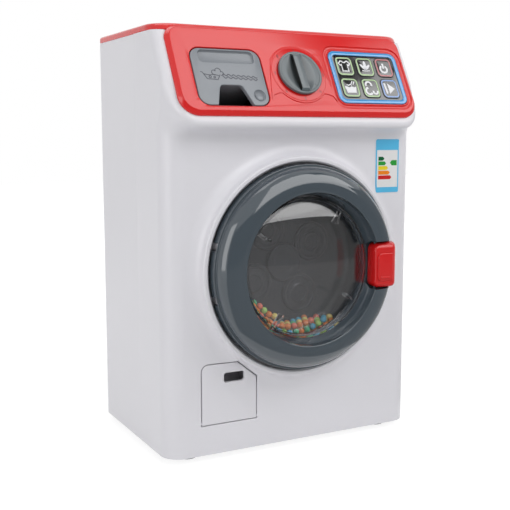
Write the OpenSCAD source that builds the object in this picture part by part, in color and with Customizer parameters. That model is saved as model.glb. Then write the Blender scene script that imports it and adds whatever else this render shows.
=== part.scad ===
// Toy front-loading washing machine. Millimetres, +Z up, the door faces -Y.
// The origin is under the middle of the whole toy, on the surface it stands on.

/* [Cabinet] */
// Width of the cabinet
body_w = 176; // [172:1:182]
// Height of the white shells' top above the ground
shell_top = 256; // [255.5:0.1:256.5]
// Height of the flat front face's plane in front of the origin
face_h = 45.5; // [45:0.5:46]
// Distance of the back wall behind the origin
back_y = 71; // [70:1:75]
// Wall thickness of the shells
wall = 2.4; // [1.8:0.1:2.8]

/* [Control fascia] */
// Angle of the fascia from the vertical
fascia_tilt = 28.3; // [27.5:0.1:29]
// Width of the red fascia plate
fascia_w = 164.4; // [160:0.2:168]
// Length of the fascia up its slope
fascia_len = 58.7; // [58:0.1:60]
// Thickness of the fascia plate
fascia_t = 3.2; // [2.6:0.1:3.6]
// Radius of the programme knob
knob_r = 14.5; // [12:0.5:15]
// Key width across the fascia
key_w = 12.4; // [10:0.1:12.8]
// Key height up the fascia
key_h = 13.4; // [11:0.1:13.6]

/* [Door] */
// Height of the door's centre above the ground
door_z = 115.7; // [114:0.1:117]
// Outer radius of the door ring
ring_r = 63; // [62:0.2:63.4]
// Radius of the ring's raised inner lip
lip_r = 47.3; // [46.8:0.1:47.8]
// How far the lip stands in front of the origin
lip_h = 67.4; // [66:0.2:68.6]
// How far the clear window bulges forward
dome_rise = 8.4; // [6:0.2:8.8]

/* [Drum] */
// Inner radius of the drum
drum_r = 49.5; // [48:0.1:49.6]
// Bead diameter
bead_d = 4.2; // [3.8:0.1:4.3]
// Gear module of the drum drive
gear_mod = 0.8; // [0.8:0.1:0.8]

/* [Hidden] */
$fn = 72;
half_w = body_w / 2;
ground_gap = 4;
origin_y = -60.2;
origin_z = 207.1;
cover_top = 260;
cover_front = 34.4;
front_corner_r = 12;
rear_corner_r = 9;
split_y = 0;

// Door stack: distances in front of the origin along the door's axis
collar_in_r = ring_r + 1.5;
collar_top_h = 53.5;
ring_back_h = 50;
ring_edge_h = 57.5;
window_r = 43.9;
window_t = 1.6;
port_r = 52.3;
tub_wall = 1.5;
tub_back_h = 18;
tub_back_t = 2.4;
cover_h = 42.8;
cover_t = 1.4;
cup_back_h = 24;
cup_wall = 1.7;

// Door hinge pin, hidden behind the ring's left edge
hinge_x = -57.5;
hinge_h = 55;
hinge_pin_r = 1;
hinge_pin_half = 22;
knuckle_r = 2;
lug_mid = 16;
lug_t = 4;
lug_half = 1.5;
slot_gap = 0.35;

// Door latch
latch_x0 = 44.3;
latch_x1 = 62.4;
latch_z0 = 100.6;
latch_z1 = 129.2;
latch_front_h = 66.4;
latch_pin_x = 47;
latch_pin_h = 61.5;
latch_back_h = 57.4;
latch_floor_h = 56.4;
pad_lift = 1.2;
tongue_x = 57.6;
keeper_slot_w = 7;

// Drum drive
drum_teeth = 60;
idler_small_teeth = 12;
idler_big_teeth = 40;
pinion_teeth = 10;
idler_dir = -50;
motor_dir = 20;
drum_pitch_r = drum_teeth * gear_mod / 2;
idler_dist = (drum_teeth + idler_small_teeth) * gear_mod / 2;
motor_dist = (idler_big_teeth + pinion_teeth) * gear_mod / 2;
idler_pos = idler_dist * [cos(idler_dir), sin(idler_dir)];
motor_pos = idler_pos + motor_dist * [cos(motor_dir), sin(motor_dir)];
shaft_r = 3;
gear_plate_h = 0.6;
gear_plate_t = 2;
motor_len = 26;

// Fascia layout: across, then up the slope
drawer_x0 = -70;
drawer_x1 = -25;
drawer_s0 = 6.8;
drawer_s1 = 44;
drawer_corner_r = 6.5;
knob_at = [-1, 28.2];
disc_r = 18.7;
disc_t = 0.8;
knob_hole_r = 3.2;
knob_shaft_r = 2;
pad_x0 = 24;
pad_x1 = 75.2;
pad_s0 = 9.5;
pad_s1 = 46.2;
pad_frame_w = 2.6;
key_columns = [34.2, 49.4, 64.1];
key_rows = [35.4, 20.2];
key_gap = 0.35;
board_off = -9.4;
board_posts = [for (x = [pad_x0 + 0.2, pad_x1 - 0.2], s = [pad_s0 + 7, pad_s1 - 7]) [x, s]];

// Filter hatch, seen from the front
hatch_x0 = -65.7;
hatch_x1 = -29;
hatch_z0 = 22.6;
hatch_z1 = 59.5;
hatch_gap = 0.6;
hatch_axis_z = hatch_z0 + 1.2;
hatch_axis_h = face_h - 1.15;
trunnion_r = 0.75;

// Batteries
cell_r = 7.1;
cell_len = 50;
cell_pitch = 15.2;
cell_z0 = 27;
cell_y = 58.4;
bay_z0 = 13;
bay_screw_z = 17.2;
bay_z1 = 68;
bay_half_w = 33;
bay_front_y = 49;

// ---- Places ----

// Points along an arc round centre c, from angle a0 to a1
function arc(c, r, a0, a1, n) = [for (i = [0:n]) let (a = a0 + (a1 - a0) * i / n)
    c + r * [cos(a), sin(a)]];

// Points of a quarter ellipse between two angles
function ellipse_arc(c, a, b, t0, t1, n) = [for (i = [0:n]) let (t = t0 + (t1 - t0) * i / n)
    c + [a * cos(t), b * sin(t)]];

// Children drawn on the fascia: X across, Y up the slope, Z out of it
module on_fascia(x = 0, s = 0, off = 0) {
    translate([0, origin_y, origin_z]) rotate([90 - fascia_tilt, 0, 0]) translate([x, s, off]) children();
}

// Children drawn facing the front: X across, Y up from the door's centre, Z forward
module on_door(x = 0, y = 0, h = 0) {
    translate([0, 0, door_z]) rotate([90, 0, 0]) translate([x, y, h]) children();
}

// Children drawn facing the front: X across, Y up from the ground, Z forward
module on_front(h = 0) {
    rotate([90, 0, 0]) translate([0, 0, h]) children();
}

// Side profile in Y and Z, drawn from -half to half across X
module across(half) {
    rotate([90, 0, 90]) translate([0, 0, -half]) linear_extrude(2 * half) children();
}

// Rectangle with four round corners
module round_rect(x0, x1, y0, y1, r) {
    polygon(concat(arc([x1 - r, y1 - r], r, 0, 90, 8), arc([x0 + r, y1 - r], r, 90, 180, 8),
        arc([x0 + r, y0 + r], r, 180, 270, 8), arc([x1 - r, y0 + r], r, 270, 360, 8)));
}

// ---- Cabinet shells ----

// Outline of the cabinet from above, drawn in by a margin
module plan(margin, front_h, front_r) {
    x = half_w - margin;
    y0 = -front_h + margin;
    y1 = back_y - margin;
    rf = max(front_r - margin, 1);
    rb = max(rear_corner_r - margin, 1);
    polygon(concat(arc([x - rf, y0 + rf], rf, -90, 0, 10), arc([x - rb, y1 - rb], rb, 0, 90, 10),
        arc([-x + rb, y1 - rb], rb, 90, 180, 10), arc([-x + rf, y0 + rf], rf, 180, 270, 10)));
}

// Everything behind the fascia's plane at a depth, with the side edges rounded
module behind_fascia(depth, edge_r, margin) {
    x = half_w - margin;
    on_fascia(0, -320, 0) rotate([-90, 0, 0]) linear_extrude(640)
        polygon(concat([[-x, 400], [x, 400]], arc([x - edge_r, depth + edge_r], edge_r, 0, -90, 8),
            arc([-x + edge_r, depth + edge_r], edge_r, -90, -180, 8)));
}

// Side profile of the brow that carries the fascia: a rounded nose above a cove
nose_r = 4;
nose_bottom_z = 199.5;
nose_z = nose_bottom_z + nose_r;
nose_y = origin_y + ((1 + sin(fascia_tilt)) * nose_r + fascia_t + (nose_bottom_z - origin_z) * sin(fascia_tilt))
    / cos(fascia_tilt);
cove_r = -nose_y - face_h;

function fascia_point(s, off) = [origin_y + s * sin(fascia_tilt) - off * cos(fascia_tilt),
    origin_z + s * cos(fascia_tilt) + off * sin(fascia_tilt)];

module brow_profile() {
    polygon(concat([fascia_point(46, -fascia_t)], arc([nose_y, nose_z], nose_r, 180 - fascia_tilt, 270, 8),
        arc([nose_y, nose_bottom_z - cove_r], cove_r, 90, 0, 8),
        [[-20, nose_bottom_z - cove_r], [-20, 240]]));
}

module cabinet_outside() {
    intersection() {
        translate([0, 0, ground_gap]) linear_extrude(shell_top - ground_gap) plan(0, face_h, front_corner_r);
        behind_fascia(fascia_t, 6, 0);
    }
    intersection() {
        across(half_w) brow_profile();
        on_fascia(0, 0, -60) linear_extrude(60) round_rect(-84.6, 84.6, -9, 70, 15);
    }
    door_collar();
}

// Raised collar round the door, with a cove at its foot
module door_collar() {
    top_r = collar_in_r + 3.4;
    on_door() rotate_extrude() polygon(concat([[collar_in_r, face_h - 1], [collar_in_r, collar_top_h - 0.8],
        [collar_in_r + 0.8, collar_top_h]], arc([top_r - 1.4, collar_top_h - 1.4], 1.4, 80, 0, 5),
        arc([top_r + 8.4, face_h + 7.2], 7.2 + 1.2, 180, 262, 7), [[top_r + 8.4, face_h - 1]]));
}

module cabinet_inside() {
    intersection() {
        translate([0, 0, ground_gap - 1]) linear_extrude(shell_top - wall - ground_gap + 1)
            plan(wall, face_h, front_corner_r);
        behind_fascia(fascia_t + wall, 4, wall);
    }
    across(79) polygon([fascia_point(44, -fascia_t - wall), fascia_point(1, -fascia_t - wall),
        [nose_y + 0.6, nose_bottom_z + 3], [-face_h + wall, nose_bottom_z + 3], [-20, nose_bottom_z + 3], [-20, 238]]);
}

module fascia_cuts(margin) {
    on_fascia(0, 0, -16) linear_extrude(17)
        round_rect(drawer_x0 - margin, drawer_x1 + margin, drawer_s0 - margin, drawer_s1 + margin, drawer_corner_r);
    on_fascia(knob_at[0], knob_at[1], -16) cylinder(r = knob_hole_r + margin, h = 17.5);
}

module hinge_lug(side) {
    on_door(hinge_x, side * lug_mid - lug_t / 2, 0) rotate([-90, 0, 0]) linear_extrude(lug_t) {
        translate([0, -hinge_h]) circle(r = knuckle_r);
        translate([-lug_half, -hinge_h]) square([2 * lug_half, hinge_h - face_h + wall / 2]);
    }
}

module screw_post(x, z) {
    translate([x, -face_h + wall / 2, z]) rotate([-90, 0, 0]) difference() {
        cylinder(r = 3.6, h = face_h + split_y - wall / 2);
        translate([0, 0, 20]) cylinder(r = 1.3, h = face_h);
    }
}

post_places = [[-76, 22], [76, 22], [-76, 182], [76, 182]];

module front_shell() {
    color("white") {
        difference() {
            union() {
                difference() {
                    cabinet_outside();
                    cabinet_inside();
                    translate([-100, split_y, -5]) cube([200, 100, 300]);
                }
                // Tub wall behind the door opening
                on_door() rotate_extrude() polygon([[port_r, tub_back_h], [port_r + tub_wall, tub_back_h],
                    [port_r + tub_wall, face_h - wall / 2], [port_r, face_h - wall / 2]]);
                for (p = post_places) screw_post(p[0], p[1]);
                for (side = [-1, 1]) hinge_lug(side);
                for (p = board_posts) on_fascia(p[0], p[1], board_off)
                    cylinder(r = 1.6, h = -board_off - fascia_t - wall / 2);
                // Bosses that carry the hatch's trunnions
                for (x = [hatch_x0 - hatch_gap - 3, hatch_x1 + hatch_gap])
                    translate([x, -face_h + wall / 2, hatch_axis_z - 2.5]) cube([3, 2.6, 5]);
            }
            on_door(0, 0, face_h - wall - 1) cylinder(r = port_r, h = wall + 2);
            fascia_cuts(1);
            on_fascia(0, 0, -12) linear_extrude(10)
                round_rect(pad_x0 + 2, pad_x1 - 2, pad_s0 + 2, pad_s1 - 2, 4);
            on_door(hinge_x, -20, hinge_h) rotate([-90, 0, 0]) cylinder(r = hinge_pin_r + 0.08, h = 40);
            // Keeper slot for the latch's tongue
            on_door(tongue_x - 1.2, -6.5, face_h - wall - 1) cube([keeper_slot_w, 13, wall + 2]);
            // Hatch opening and its trunnion holes
            on_front(face_h - wall - 1) linear_extrude(wall + 2) hatch_outline(hatch_gap);
            translate([hatch_x0 - hatch_gap - 2.5, -hatch_axis_h, hatch_axis_z]) rotate([0, 90, 0])
                cylinder(r = trunnion_r + 0.08, h = hatch_x1 - hatch_x0 + 2 * hatch_gap + 5);
        }
    }
}

module rear_shell() {
    color("white") {
        difference() {
            union() {
                difference() {
                    cabinet_outside();
                    cabinet_inside();
                    translate([-100, split_y - 100, -5]) cube([200, 100, 300]);
                }
                for (p = post_places) translate([p[0], split_y, p[1]]) rotate([-90, 0, 0])
                    cylinder(r = 3.6, h = back_y - split_y - wall / 2);
            }
            // Screw channels, wide enough for the heads behind and the shanks in front
            for (p = post_places) translate([p[0], split_y + 8, p[1]]) rotate([-90, 0, 0])
                cylinder(r = 2.6, h = back_y);
            for (p = post_places) translate([p[0], split_y - 1, p[1]]) rotate([-90, 0, 0])
                cylinder(r = 1.6, h = 20);
            // Battery bay opening and the sunk seat of its cover
            translate([-bay_half_w, back_y - wall - 1, bay_z0]) cube([2 * bay_half_w, wall + 2, bay_z1 - bay_z0]);
            translate([-bay_half_w - 3, back_y - 1.4, bay_z0 - 3])
                cube([2 * bay_half_w + 6, 2, bay_z1 - bay_z0 + 6]);
            // Sound holes
            for (row = [-3:3], col = [-3:3]) if (row * row + col * col < 11)
                translate([col * 5, back_y - wall - 1, 176 + row * 5]) rotate([-90, 0, 0])
                    cylinder(r = 1.2, h = wall + 2, $fn = 24);
        }
    }
}

module base_plate() {
    color("whitesmoke") translate([0, 0, ground_gap]) linear_extrude(wall)
        plan(wall + 0.05, face_h, front_corner_r);
}

module foot(x, y) {
    color("dimgray") translate([x, y, 0]) rotate_extrude() polygon([[0, 0], [7, 0], [8, 1], [8, ground_gap],
        [0, ground_gap]]);
}

// ---- Fascia ----

// Outline of the fascia plate, whose upper edge meets the lid; rounder at the bottom corners than at the top
module fascia_outline() {
    x = fascia_w / 2;
    foot_r = 12;
    head_r = 9;
    foot = 1.2;
    head = fascia_len + 1.2;
    polygon(concat(arc([x - head_r, head - head_r], head_r, 0, 90, 8),
        arc([-x + head_r, head - head_r], head_r, 90, 180, 8),
        arc([-x + foot_r, foot + foot_r], foot_r, 180, 270, 10), arc([x - foot_r, foot + foot_r], foot_r, 270, 360, 10)));
}

module top_console() {
    color("red") difference() {
        union() {
            on_fascia(0, 0, -fascia_t) linear_extrude(fascia_t) fascia_outline();
            intersection() {
                translate([0, 0, shell_top]) linear_extrude(cover_top - shell_top) plan(0, cover_front, 15);
                behind_fascia(0, 3, 0);
            }
            on_fascia(knob_at[0], knob_at[1], -1) cylinder(r = disc_r, h = disc_t + 1);
        }
        fascia_cuts(0.5);
        on_fascia(0, 0, -1.4) linear_extrude(5) round_rect(pad_x0 - 0.3, pad_x1 + 0.3, pad_s0 - 0.3, pad_s1 + 0.3, 5);
        on_fascia(0, 0, -6) linear_extrude(5)
            round_rect(pad_x0 + 2, pad_x1 - 2, pad_s0 + 2, pad_s1 - 2, 4);
    }
}

// ---- Detergent drawer ----

module notch_outline(grow) {
    polygon(concat([[-59.3 - grow, drawer_s0 - 2], [-55.8 - grow, 17]], arc([-52.8, 17.3 + grow], 2.6, 160, 90, 5),
        arc([-43, 17 + grow], 2.9, 90, 25, 5), [[-34.9 + grow, drawer_s0 - 2]]));
}

module drawer_front() {
    color("lightslategray") on_fascia(0, 0, 0) difference() {
        translate([0, 0, -2.6]) linear_extrude(2.4)
            round_rect(drawer_x0, drawer_x1, drawer_s0, drawer_s1, drawer_corner_r);
        translate([0, 0, -4]) linear_extrude(6) notch_outline(0);
        // Shallow basin along the top
        translate([0, 0, -1.2]) linear_extrude(2) round_rect(-65, -29, 34.6, 43.2, 2);
    }
}

module drawer_tray() {
    x0 = drawer_x0 + 3;
    x1 = drawer_x1 - 3;
    s0 = drawer_s0 + 13.5;
    s1 = drawer_s1 - 3;
    color("lightslategray") on_fascia(0, 0, -26) difference() {
        translate([x0, s0, 0]) cube([x1 - x0, s1 - s0, 23.4]);
        translate([x0 + 1.5, s0 + 1.5, 1.5]) cube([x1 - x0 - 3, s1 - s0, 20.4]);
    }
}

module drawer_sleeve() {
    x0 = drawer_x0 - 0.4;
    x1 = drawer_x1 + 0.4;
    color("black") on_fascia(0, 0, -30) difference() {
        linear_extrude(26.6) round_rect(x0, x1, drawer_s0 - 0.2, drawer_s1 + 0.2, drawer_corner_r - 1);
        translate([0, 0, 1.6]) linear_extrude(30)
            round_rect(x0 + 1.6, x1 - 1.6, drawer_s0 + 1.4, drawer_s1 - 1.4, 2);
    }
}

// ---- Programme knob ----

grip_dir = 92;
knob_top = 3;

module knob() {
    color("slategray") on_fascia(knob_at[0], knob_at[1], disc_t + 0.4) difference() {
        union() {
            rotate_extrude() polygon([[0, 0], [knob_r, 0], [knob_r, 1.5], [knob_r - 0.5, 2],
                [knob_r - 1.4, 2], [knob_r - 2.1, 0.9], [0, 0.9]]);
            // Grip bar across the middle, its sides scooped towards the floor
            intersection() {
                cylinder(r = knob_r - 0.7, h = knob_top);
                rotate([0, 0, grip_dir]) translate([-knob_r, 0, 0]) rotate([90, 0, 90])
                    linear_extrude(2 * knob_r) polygon([[-5.6, 0.8], [-4, 1.2], [-2.9, 1.9], [-2.3, knob_top],
                        [2.3, knob_top], [2.9, 1.9], [4, 1.2], [5.6, 0.8]]);
            }
        }
        translate([0, 0, -1]) cylinder(r = knob_shaft_r, h = knob_top);
    }
}

module knob_shaft() {
    color("silver") on_fascia(knob_at[0], knob_at[1], -10) cylinder(r = knob_shaft_r, h = 10 + disc_t + knob_top - 0.6);
}

module dial_switch() {
    color("dimgray") on_fascia(knob_at[0], knob_at[1], 0) difference() {
        union() {
            translate([-9, -9, -14]) cube([18, 18, 7]);
            translate([0, 0, -8]) cylinder(r = 6, h = 8 - fascia_t - wall);
        }
        translate([0, 0, -11]) cylinder(r = knob_shaft_r + 0.08, h = 20);
    }
}

// ---- Keypad ----

module keypad_frame() {
    color("deepskyblue") on_fascia(0, 0, -1.2) linear_extrude(1.5) difference() {
        round_rect(pad_x0, pad_x1, pad_s0, pad_s1, 5);
        round_rect(pad_x0 + pad_frame_w, pad_x1 - pad_frame_w, pad_s0 + pad_frame_w, pad_s1 - pad_frame_w, 3);
    }
}

module keypad_panel() {
    m = pad_frame_w + 0.05;
    color("black") on_fascia(0, 0, -1.2) linear_extrude(1.1) difference() {
        round_rect(pad_x0 + m, pad_x1 - m, pad_s0 + m, pad_s1 - m, 3);
        for (x = key_columns, s = key_rows) key_outline(x, s, key_gap);
    }
}

module key_outline(x, s, grow) {
    round_rect(x - key_w / 2 - grow, x + key_w / 2 + grow, s - key_h / 2 - grow, s + key_h / 2 + grow, 3);
}

module key_cap(x, s) {
    color("darkslategray") on_fascia(0, 0, -5) {
        linear_extrude(5.4) key_outline(x, s, 0);
        translate([x, s, -1.6]) cylinder(r = 2, h = 2);
    }
}

module key_board() {
    color("green") on_fascia(0, 0, board_off - 1.6) difference() {
        linear_extrude(1.6) round_rect(pad_x0 - 2.5, pad_x1 + 2.5, pad_s0 + 0.5, pad_s1 - 0.5, 1.5);
        for (p = board_posts) translate([p[0], p[1], -1]) cylinder(r = 0.8, h = 4, $fn = 24);
    }
}

module key_domes() {
    color("silver") for (x = key_columns, s = key_rows)
        on_fascia(x, s, board_off) cylinder(r = 3, h = 1, $fn = 36);
}

module speaker() {
    color("dimgray") translate([0, back_y - wall - 0.2, 176]) rotate([90, 0, 0]) rotate_extrude()
        polygon([[0, 4], [3, 4], [17, 0.6], [20, 0.6], [20, 3], [16, 6], [12, 9], [12, 15], [0, 15]]);
}

// ---- Drum and its drive ----

// Half the angle of a tooth at radius r, by the involute of the base circle
function involute_angle(base_r, r) = let (a = acos(min(1, base_r / max(r, base_r)))) tan(a) * 180 / PI - a;

function tooth_half(z, m, r) = let (pitch = z * m / 2, play = 0.16)
    90 / z - play / 2 / pitch * 180 / PI + involute_angle(pitch * cos(20), pitch)
    - involute_angle(pitch * cos(20), r);

function tooth_radii(z, m) = let (pitch = z * m / 2, root = pitch - 1.15 * m, tip = pitch + 0.8 * m,
    base = pitch * cos(20), low = max(root + 0.15, base)) concat([root], [for (i = [0:3]) low + (tip - low) * i / 3]);

module gear_outline(z, m) {
    radii = tooth_radii(z, m);
    n = len(radii);
    polygon([for (i = [0:z - 1]) for (j = [0:2 * n - 1]) let (k = j < n ? j : 2 * n - 1 - j,
        side = j < n ? -1 : 1, a = i * 360 / z + side * tooth_half(z, m, radii[k])) radii[k] * [cos(a), sin(a)]]);
}

module gear(z, m, t) {
    linear_extrude(t) gear_outline(z, m);
}

module tub_back() {
    color("dimgray") on_door() {
        difference() {
            translate([0, 0, tub_back_h - tub_back_t]) cylinder(r = port_r + tub_wall + 3, h = tub_back_t);
            translate([0, 0, tub_back_h - 10]) cylinder(r = shaft_r + 0.1, h = 20);
            translate([idler_pos[0], idler_pos[1], tub_back_h - 10]) cylinder(r = 1, h = 20);
        }
    }
}

module drum_cup() {
    lobe_h = 1.6;
    color("dimgray") on_door() difference() {
        union() {
            rotate_extrude() polygon([[0, cup_back_h], [drum_r + cup_wall - 4, cup_back_h],
                [drum_r + cup_wall, cup_back_h + 4], [drum_r + cup_wall, cover_h],
                [drum_r, cover_h], [drum_r, cup_back_h + 5], [drum_r - 4, cup_back_h + cup_wall],
                [0, cup_back_h + cup_wall]]);
            // Hub with four moulded lobes
            translate([0, 0, cup_back_h]) cylinder(r = 12, h = 4.4);
            for (a = [30, 120, 210, 300]) rotate([0, 0, a]) translate([24.2, 0, cup_back_h + 1])
                cylinder(r = 12.6, h = cup_wall - 1 + lobe_h);
            translate([0, 0, cup_back_h - 3]) cylinder(r = 6, h = 4);
        }
        translate([0, 0, cup_back_h - 4]) cylinder(r = shaft_r, h = 7);
    }
}

module drum_cover() {
    color("lightgray", 0.35) on_door(0, 0, cover_h) cylinder(r = drum_r + cup_wall, h = cover_t);
}

module drum_shaft() {
    color("silver") on_door(0, 0, -4) {
        cylinder(r = shaft_r, h = cup_back_h + 7);
        cylinder(r = shaft_r + 1.6, h = 2);
    }
}

module drum_gear() {
    color("ivory") on_door(0, 0, 10.5) difference() {
        rotate([0, 0, idler_dir]) gear(drum_teeth, gear_mod, 4);
        translate([0, 0, -1]) cylinder(r = shaft_r, h = 8);
    }
}

module idler_gear() {
    color("ivory") on_door(idler_pos[0], idler_pos[1], 0) difference() {
        union() {
            translate([0, 0, 4]) rotate([0, 0, motor_dir]) gear(idler_big_teeth, gear_mod, 4);
            translate([0, 0, 8]) rotate([0, 0, idler_dir + 180 + 180 / idler_small_teeth])
                gear(idler_small_teeth, gear_mod, 7);
        }
        translate([0, 0, 3]) cylinder(r = 1.08, h = 14);
    }
}

module idler_pin() {
    color("silver") on_door(idler_pos[0], idler_pos[1], gear_plate_h) cylinder(r = 1, h = tub_back_h - gear_plate_h);
}

module motor_pinion() {
    color("gold") on_door(motor_pos[0], motor_pos[1], 0) {
        translate([0, 0, 3.6]) rotate([0, 0, motor_dir + 180 + 180 / pinion_teeth])
            gear(pinion_teeth, gear_mod, 5);
        translate([0, 0, -6]) cylinder(r = 1, h = 10);
    }
}

module motor() {
    color("silver") on_door(motor_pos[0], motor_pos[1], 0) difference() {
        union() {
            translate([0, 0, gear_plate_h - motor_len]) intersection() {
                cylinder(r = 12, h = motor_len);
                translate([-12, -9, 0]) cube([24, 18, motor_len]);
            }
            translate([0, 0, -1]) cylinder(r = 3, h = gear_plate_h + gear_plate_t + 0.6);
        }
        translate([0, 0, -8]) cylinder(r = 1.08, h = 12);
    }
}

module gear_plate() {
    color("whitesmoke") on_door() difference() {
        union() {
            translate([-34, -40, gear_plate_h]) cube([86, 66, gear_plate_t]);
            for (p = [[-30, -36], [48, -2], [-30, 22], [30, -38]])
                translate([p[0], p[1], gear_plate_h]) cylinder(r = 2.5, h = tub_back_h - tub_back_t - gear_plate_h);
        }
        translate([0, 0, -2]) cylinder(r = shaft_r + 0.1, h = 8);
        translate([idler_pos[0], idler_pos[1], -2]) cylinder(r = 1, h = 8);
        translate([motor_pos[0], motor_pos[1], -2]) cylinder(r = 3, h = 8);
    }
}

// ---- Beads ----

// Rows of beads lie along the drum's wall: radius, first and last angle, for each row
bead_rows = [[0, -143, -51], [1, -143, -57], [2, -141, -68], [3, -139, -112]];
bead_layers = 3;
bead_gap = 0.3;
bead_colours = 6;

function bead_step(r) = (bead_d + 0.12) / r * 180 / PI;

// Each bead: distance from the axis, angle, height and colour number
beads = [for (layer = [0:bead_layers - 1], row = bead_rows)
    let (r = drum_r - bead_d / 2 - 0.15 - row[0] * (bead_d + 0.06), step = bead_step(r),
        shift = (row[0] + layer) % 2 * step / 2, n = floor((row[2] - row[1] - shift) / step))
    for (i = [0:n]) [r, row[1] + shift + i * step, cover_h - bead_gap - bead_d / 2 - layer * (bead_d + 0.15),
        (i * i + 3 * i + 2 * row[0] + 5 * layer + row[0] * i) % bead_colours]];

module bead_group(colour) {
    on_door() for (b = beads) if (b[3] == colour) rotate([0, 0, b[1]]) translate([b[0], 0, b[2]])
        sphere(d = bead_d, $fn = 20);
}

// ---- Door ----

// Cross-section of the door ring: distance from the axis, then forward
module ring_section() {
    polygon(concat([[window_r, ring_back_h + 1.7], [lip_r - 0.9, lip_h - 0.9]],
        arc([lip_r, lip_h - 0.9], 0.9, 180, 100, 3),
        ellipse_arc([lip_r, ring_edge_h], ring_r - 1.2 - lip_r, lip_h - ring_edge_h, 88, 0, 12),
        [[ring_r, ring_edge_h - 0.5], [ring_r, ring_back_h], [48.2, ring_back_h], [48.2, ring_back_h + 1.7]]));
}

module ring_hollow() {
    polygon(concat([[50.2, ring_back_h - 1]], ellipse_arc([lip_r, ring_edge_h], ring_r - 3.6 - lip_r,
        lip_h - ring_edge_h - 2.4, 74, 0, 10), [[ring_r - 3.6, ring_back_h - 1]]));
}

module ring_solid() {
    rotate_extrude() ring_section();
}

// Blocks inside the ring that hold the hinge pin and the latch pin
module ring_blocks() {
    intersection() {
        ring_solid();
        union() {
            translate([-61.5, -25, ring_back_h]) cube([9.5, 50, 8]);
            translate([43, latch_z0 - door_z - 5, ring_back_h]) cube([22, latch_z1 - latch_z0 + 12, 18]);
        }
    }
}

// Room for a lug of the cabinet, and for its swing as the door opens
module hinge_slot(side) {
    z0 = ring_back_h - 5;
    y0 = side * lug_mid - lug_t / 2 - slot_gap;
    translate([-66, y0, z0]) cube([6.2, lug_t + 2 * slot_gap, hinge_h + lug_half + 0.4 - z0]);
    translate([-60, y0, z0]) cube([6, lug_t + 2 * slot_gap, hinge_h + knuckle_r + slot_gap - z0]);
}

module door_ring() {
    color("darkslategray") on_door() difference() {
        union() {
            difference() {
                ring_solid();
                rotate_extrude() ring_hollow();
            }
            ring_blocks();
        }
        for (side = [-1, 1]) hinge_slot(side);
        translate([hinge_x, -hinge_pin_half, hinge_h]) rotate([-90, 0, 0])
            cylinder(r = hinge_pin_r, h = 2 * hinge_pin_half);
        // Seat for the handle, with a finger slot above it
        translate([latch_x0 - 1.2, latch_z0 - door_z - 0.5, latch_floor_h])
            cube([24, latch_z1 - latch_z0 + 1.6, 20]);
        translate([latch_pin_x, latch_z0 - door_z - 4, latch_pin_h]) rotate([-90, 0, 0])
            cylinder(r = 0.9, h = latch_z1 - latch_z0 + 10);
        translate([tongue_x - 1.4, -6, ring_back_h - 1]) cube([5.7, 12, 12]);
    }
}

dome_edge_h = 58.2;
dome_half = window_r - 1.2;
window_wall_r = window_r - 0.6;
dome_radius = (dome_half * dome_half + dome_rise * dome_rise) / (2 * dome_rise);

// Four clear ribs behind the dome, near its rim
module window_ribs() {
    for (a = [55, 146, 236, 326]) rotate([0, 0, a]) rotate([90, 0, 0]) translate([0, 0, -0.8]) linear_extrude(1.6)
        polygon([[32.5, 54.2], [42.4, 54.2], [42.4, 57.3], [38, 59.1], [32.5, 61]]);
}

// Clear window: a shallow dome on a short round wall, with a flat flange behind the ring
module door_window() {
    flange_h = ring_back_h + window_t + 0.05;
    centre_h = dome_edge_h + dome_rise - dome_radius;
    edge = asin(dome_half / dome_radius);
    inner_edge = asin((dome_half - 1.4) / (dome_radius - window_t));
    color("lightcyan", 0.3) on_door() {
        rotate_extrude()
            polygon(concat(arc([0, centre_h], dome_radius, 90, 90 - edge, 14),
                [[window_wall_r, dome_edge_h - 0.7], [window_wall_r, flange_h], [47.9, flange_h],
                [47.9, ring_back_h + 0.1], [window_wall_r - window_t, ring_back_h + 0.1],
                [window_wall_r - window_t, dome_edge_h - 1.7]],
                arc([0, centre_h], dome_radius - window_t, 90 - inner_edge, 90, 14)));
        window_ribs();
    }
}

module door_back() {
    color("darkslategray") on_door() difference() {
        rotate_extrude() polygon([[44.6, 48.2], [61.2, 48.2], [61.2, ring_back_h], [44.6, ring_back_h]]);
        for (side = [-1, 1]) translate([-66, side * lug_mid - lug_t / 2 - slot_gap, 45])
            cube([14, lug_t + 2 * slot_gap, 10]);
        translate([tongue_x - 1.4, -6, 45]) cube([8, 12, 12]);
    }
}

module hinge_pin() {
    color("silver") on_door(hinge_x, -hinge_pin_half, hinge_h) rotate([-90, 0, 0])
        cylinder(r = hinge_pin_r, h = 2 * hinge_pin_half);
}

// ---- Latch ----

// Outline of the handle seen from the front, rounder on the side of the window
module latch_outline(x0, y0, x1, y1, r_in, r_out) {
    polygon(concat(arc([x0 + r_in, y0 + r_in], r_in, 180, 270, 6), arc([x1 - r_out, y0 + r_out], r_out, 270, 360, 4),
        arc([x1 - r_out, y1 - r_out], r_out, 0, 90, 4), arc([x0 + r_in, y1 - r_in], r_in, 90, 180, 6)));
}

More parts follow.
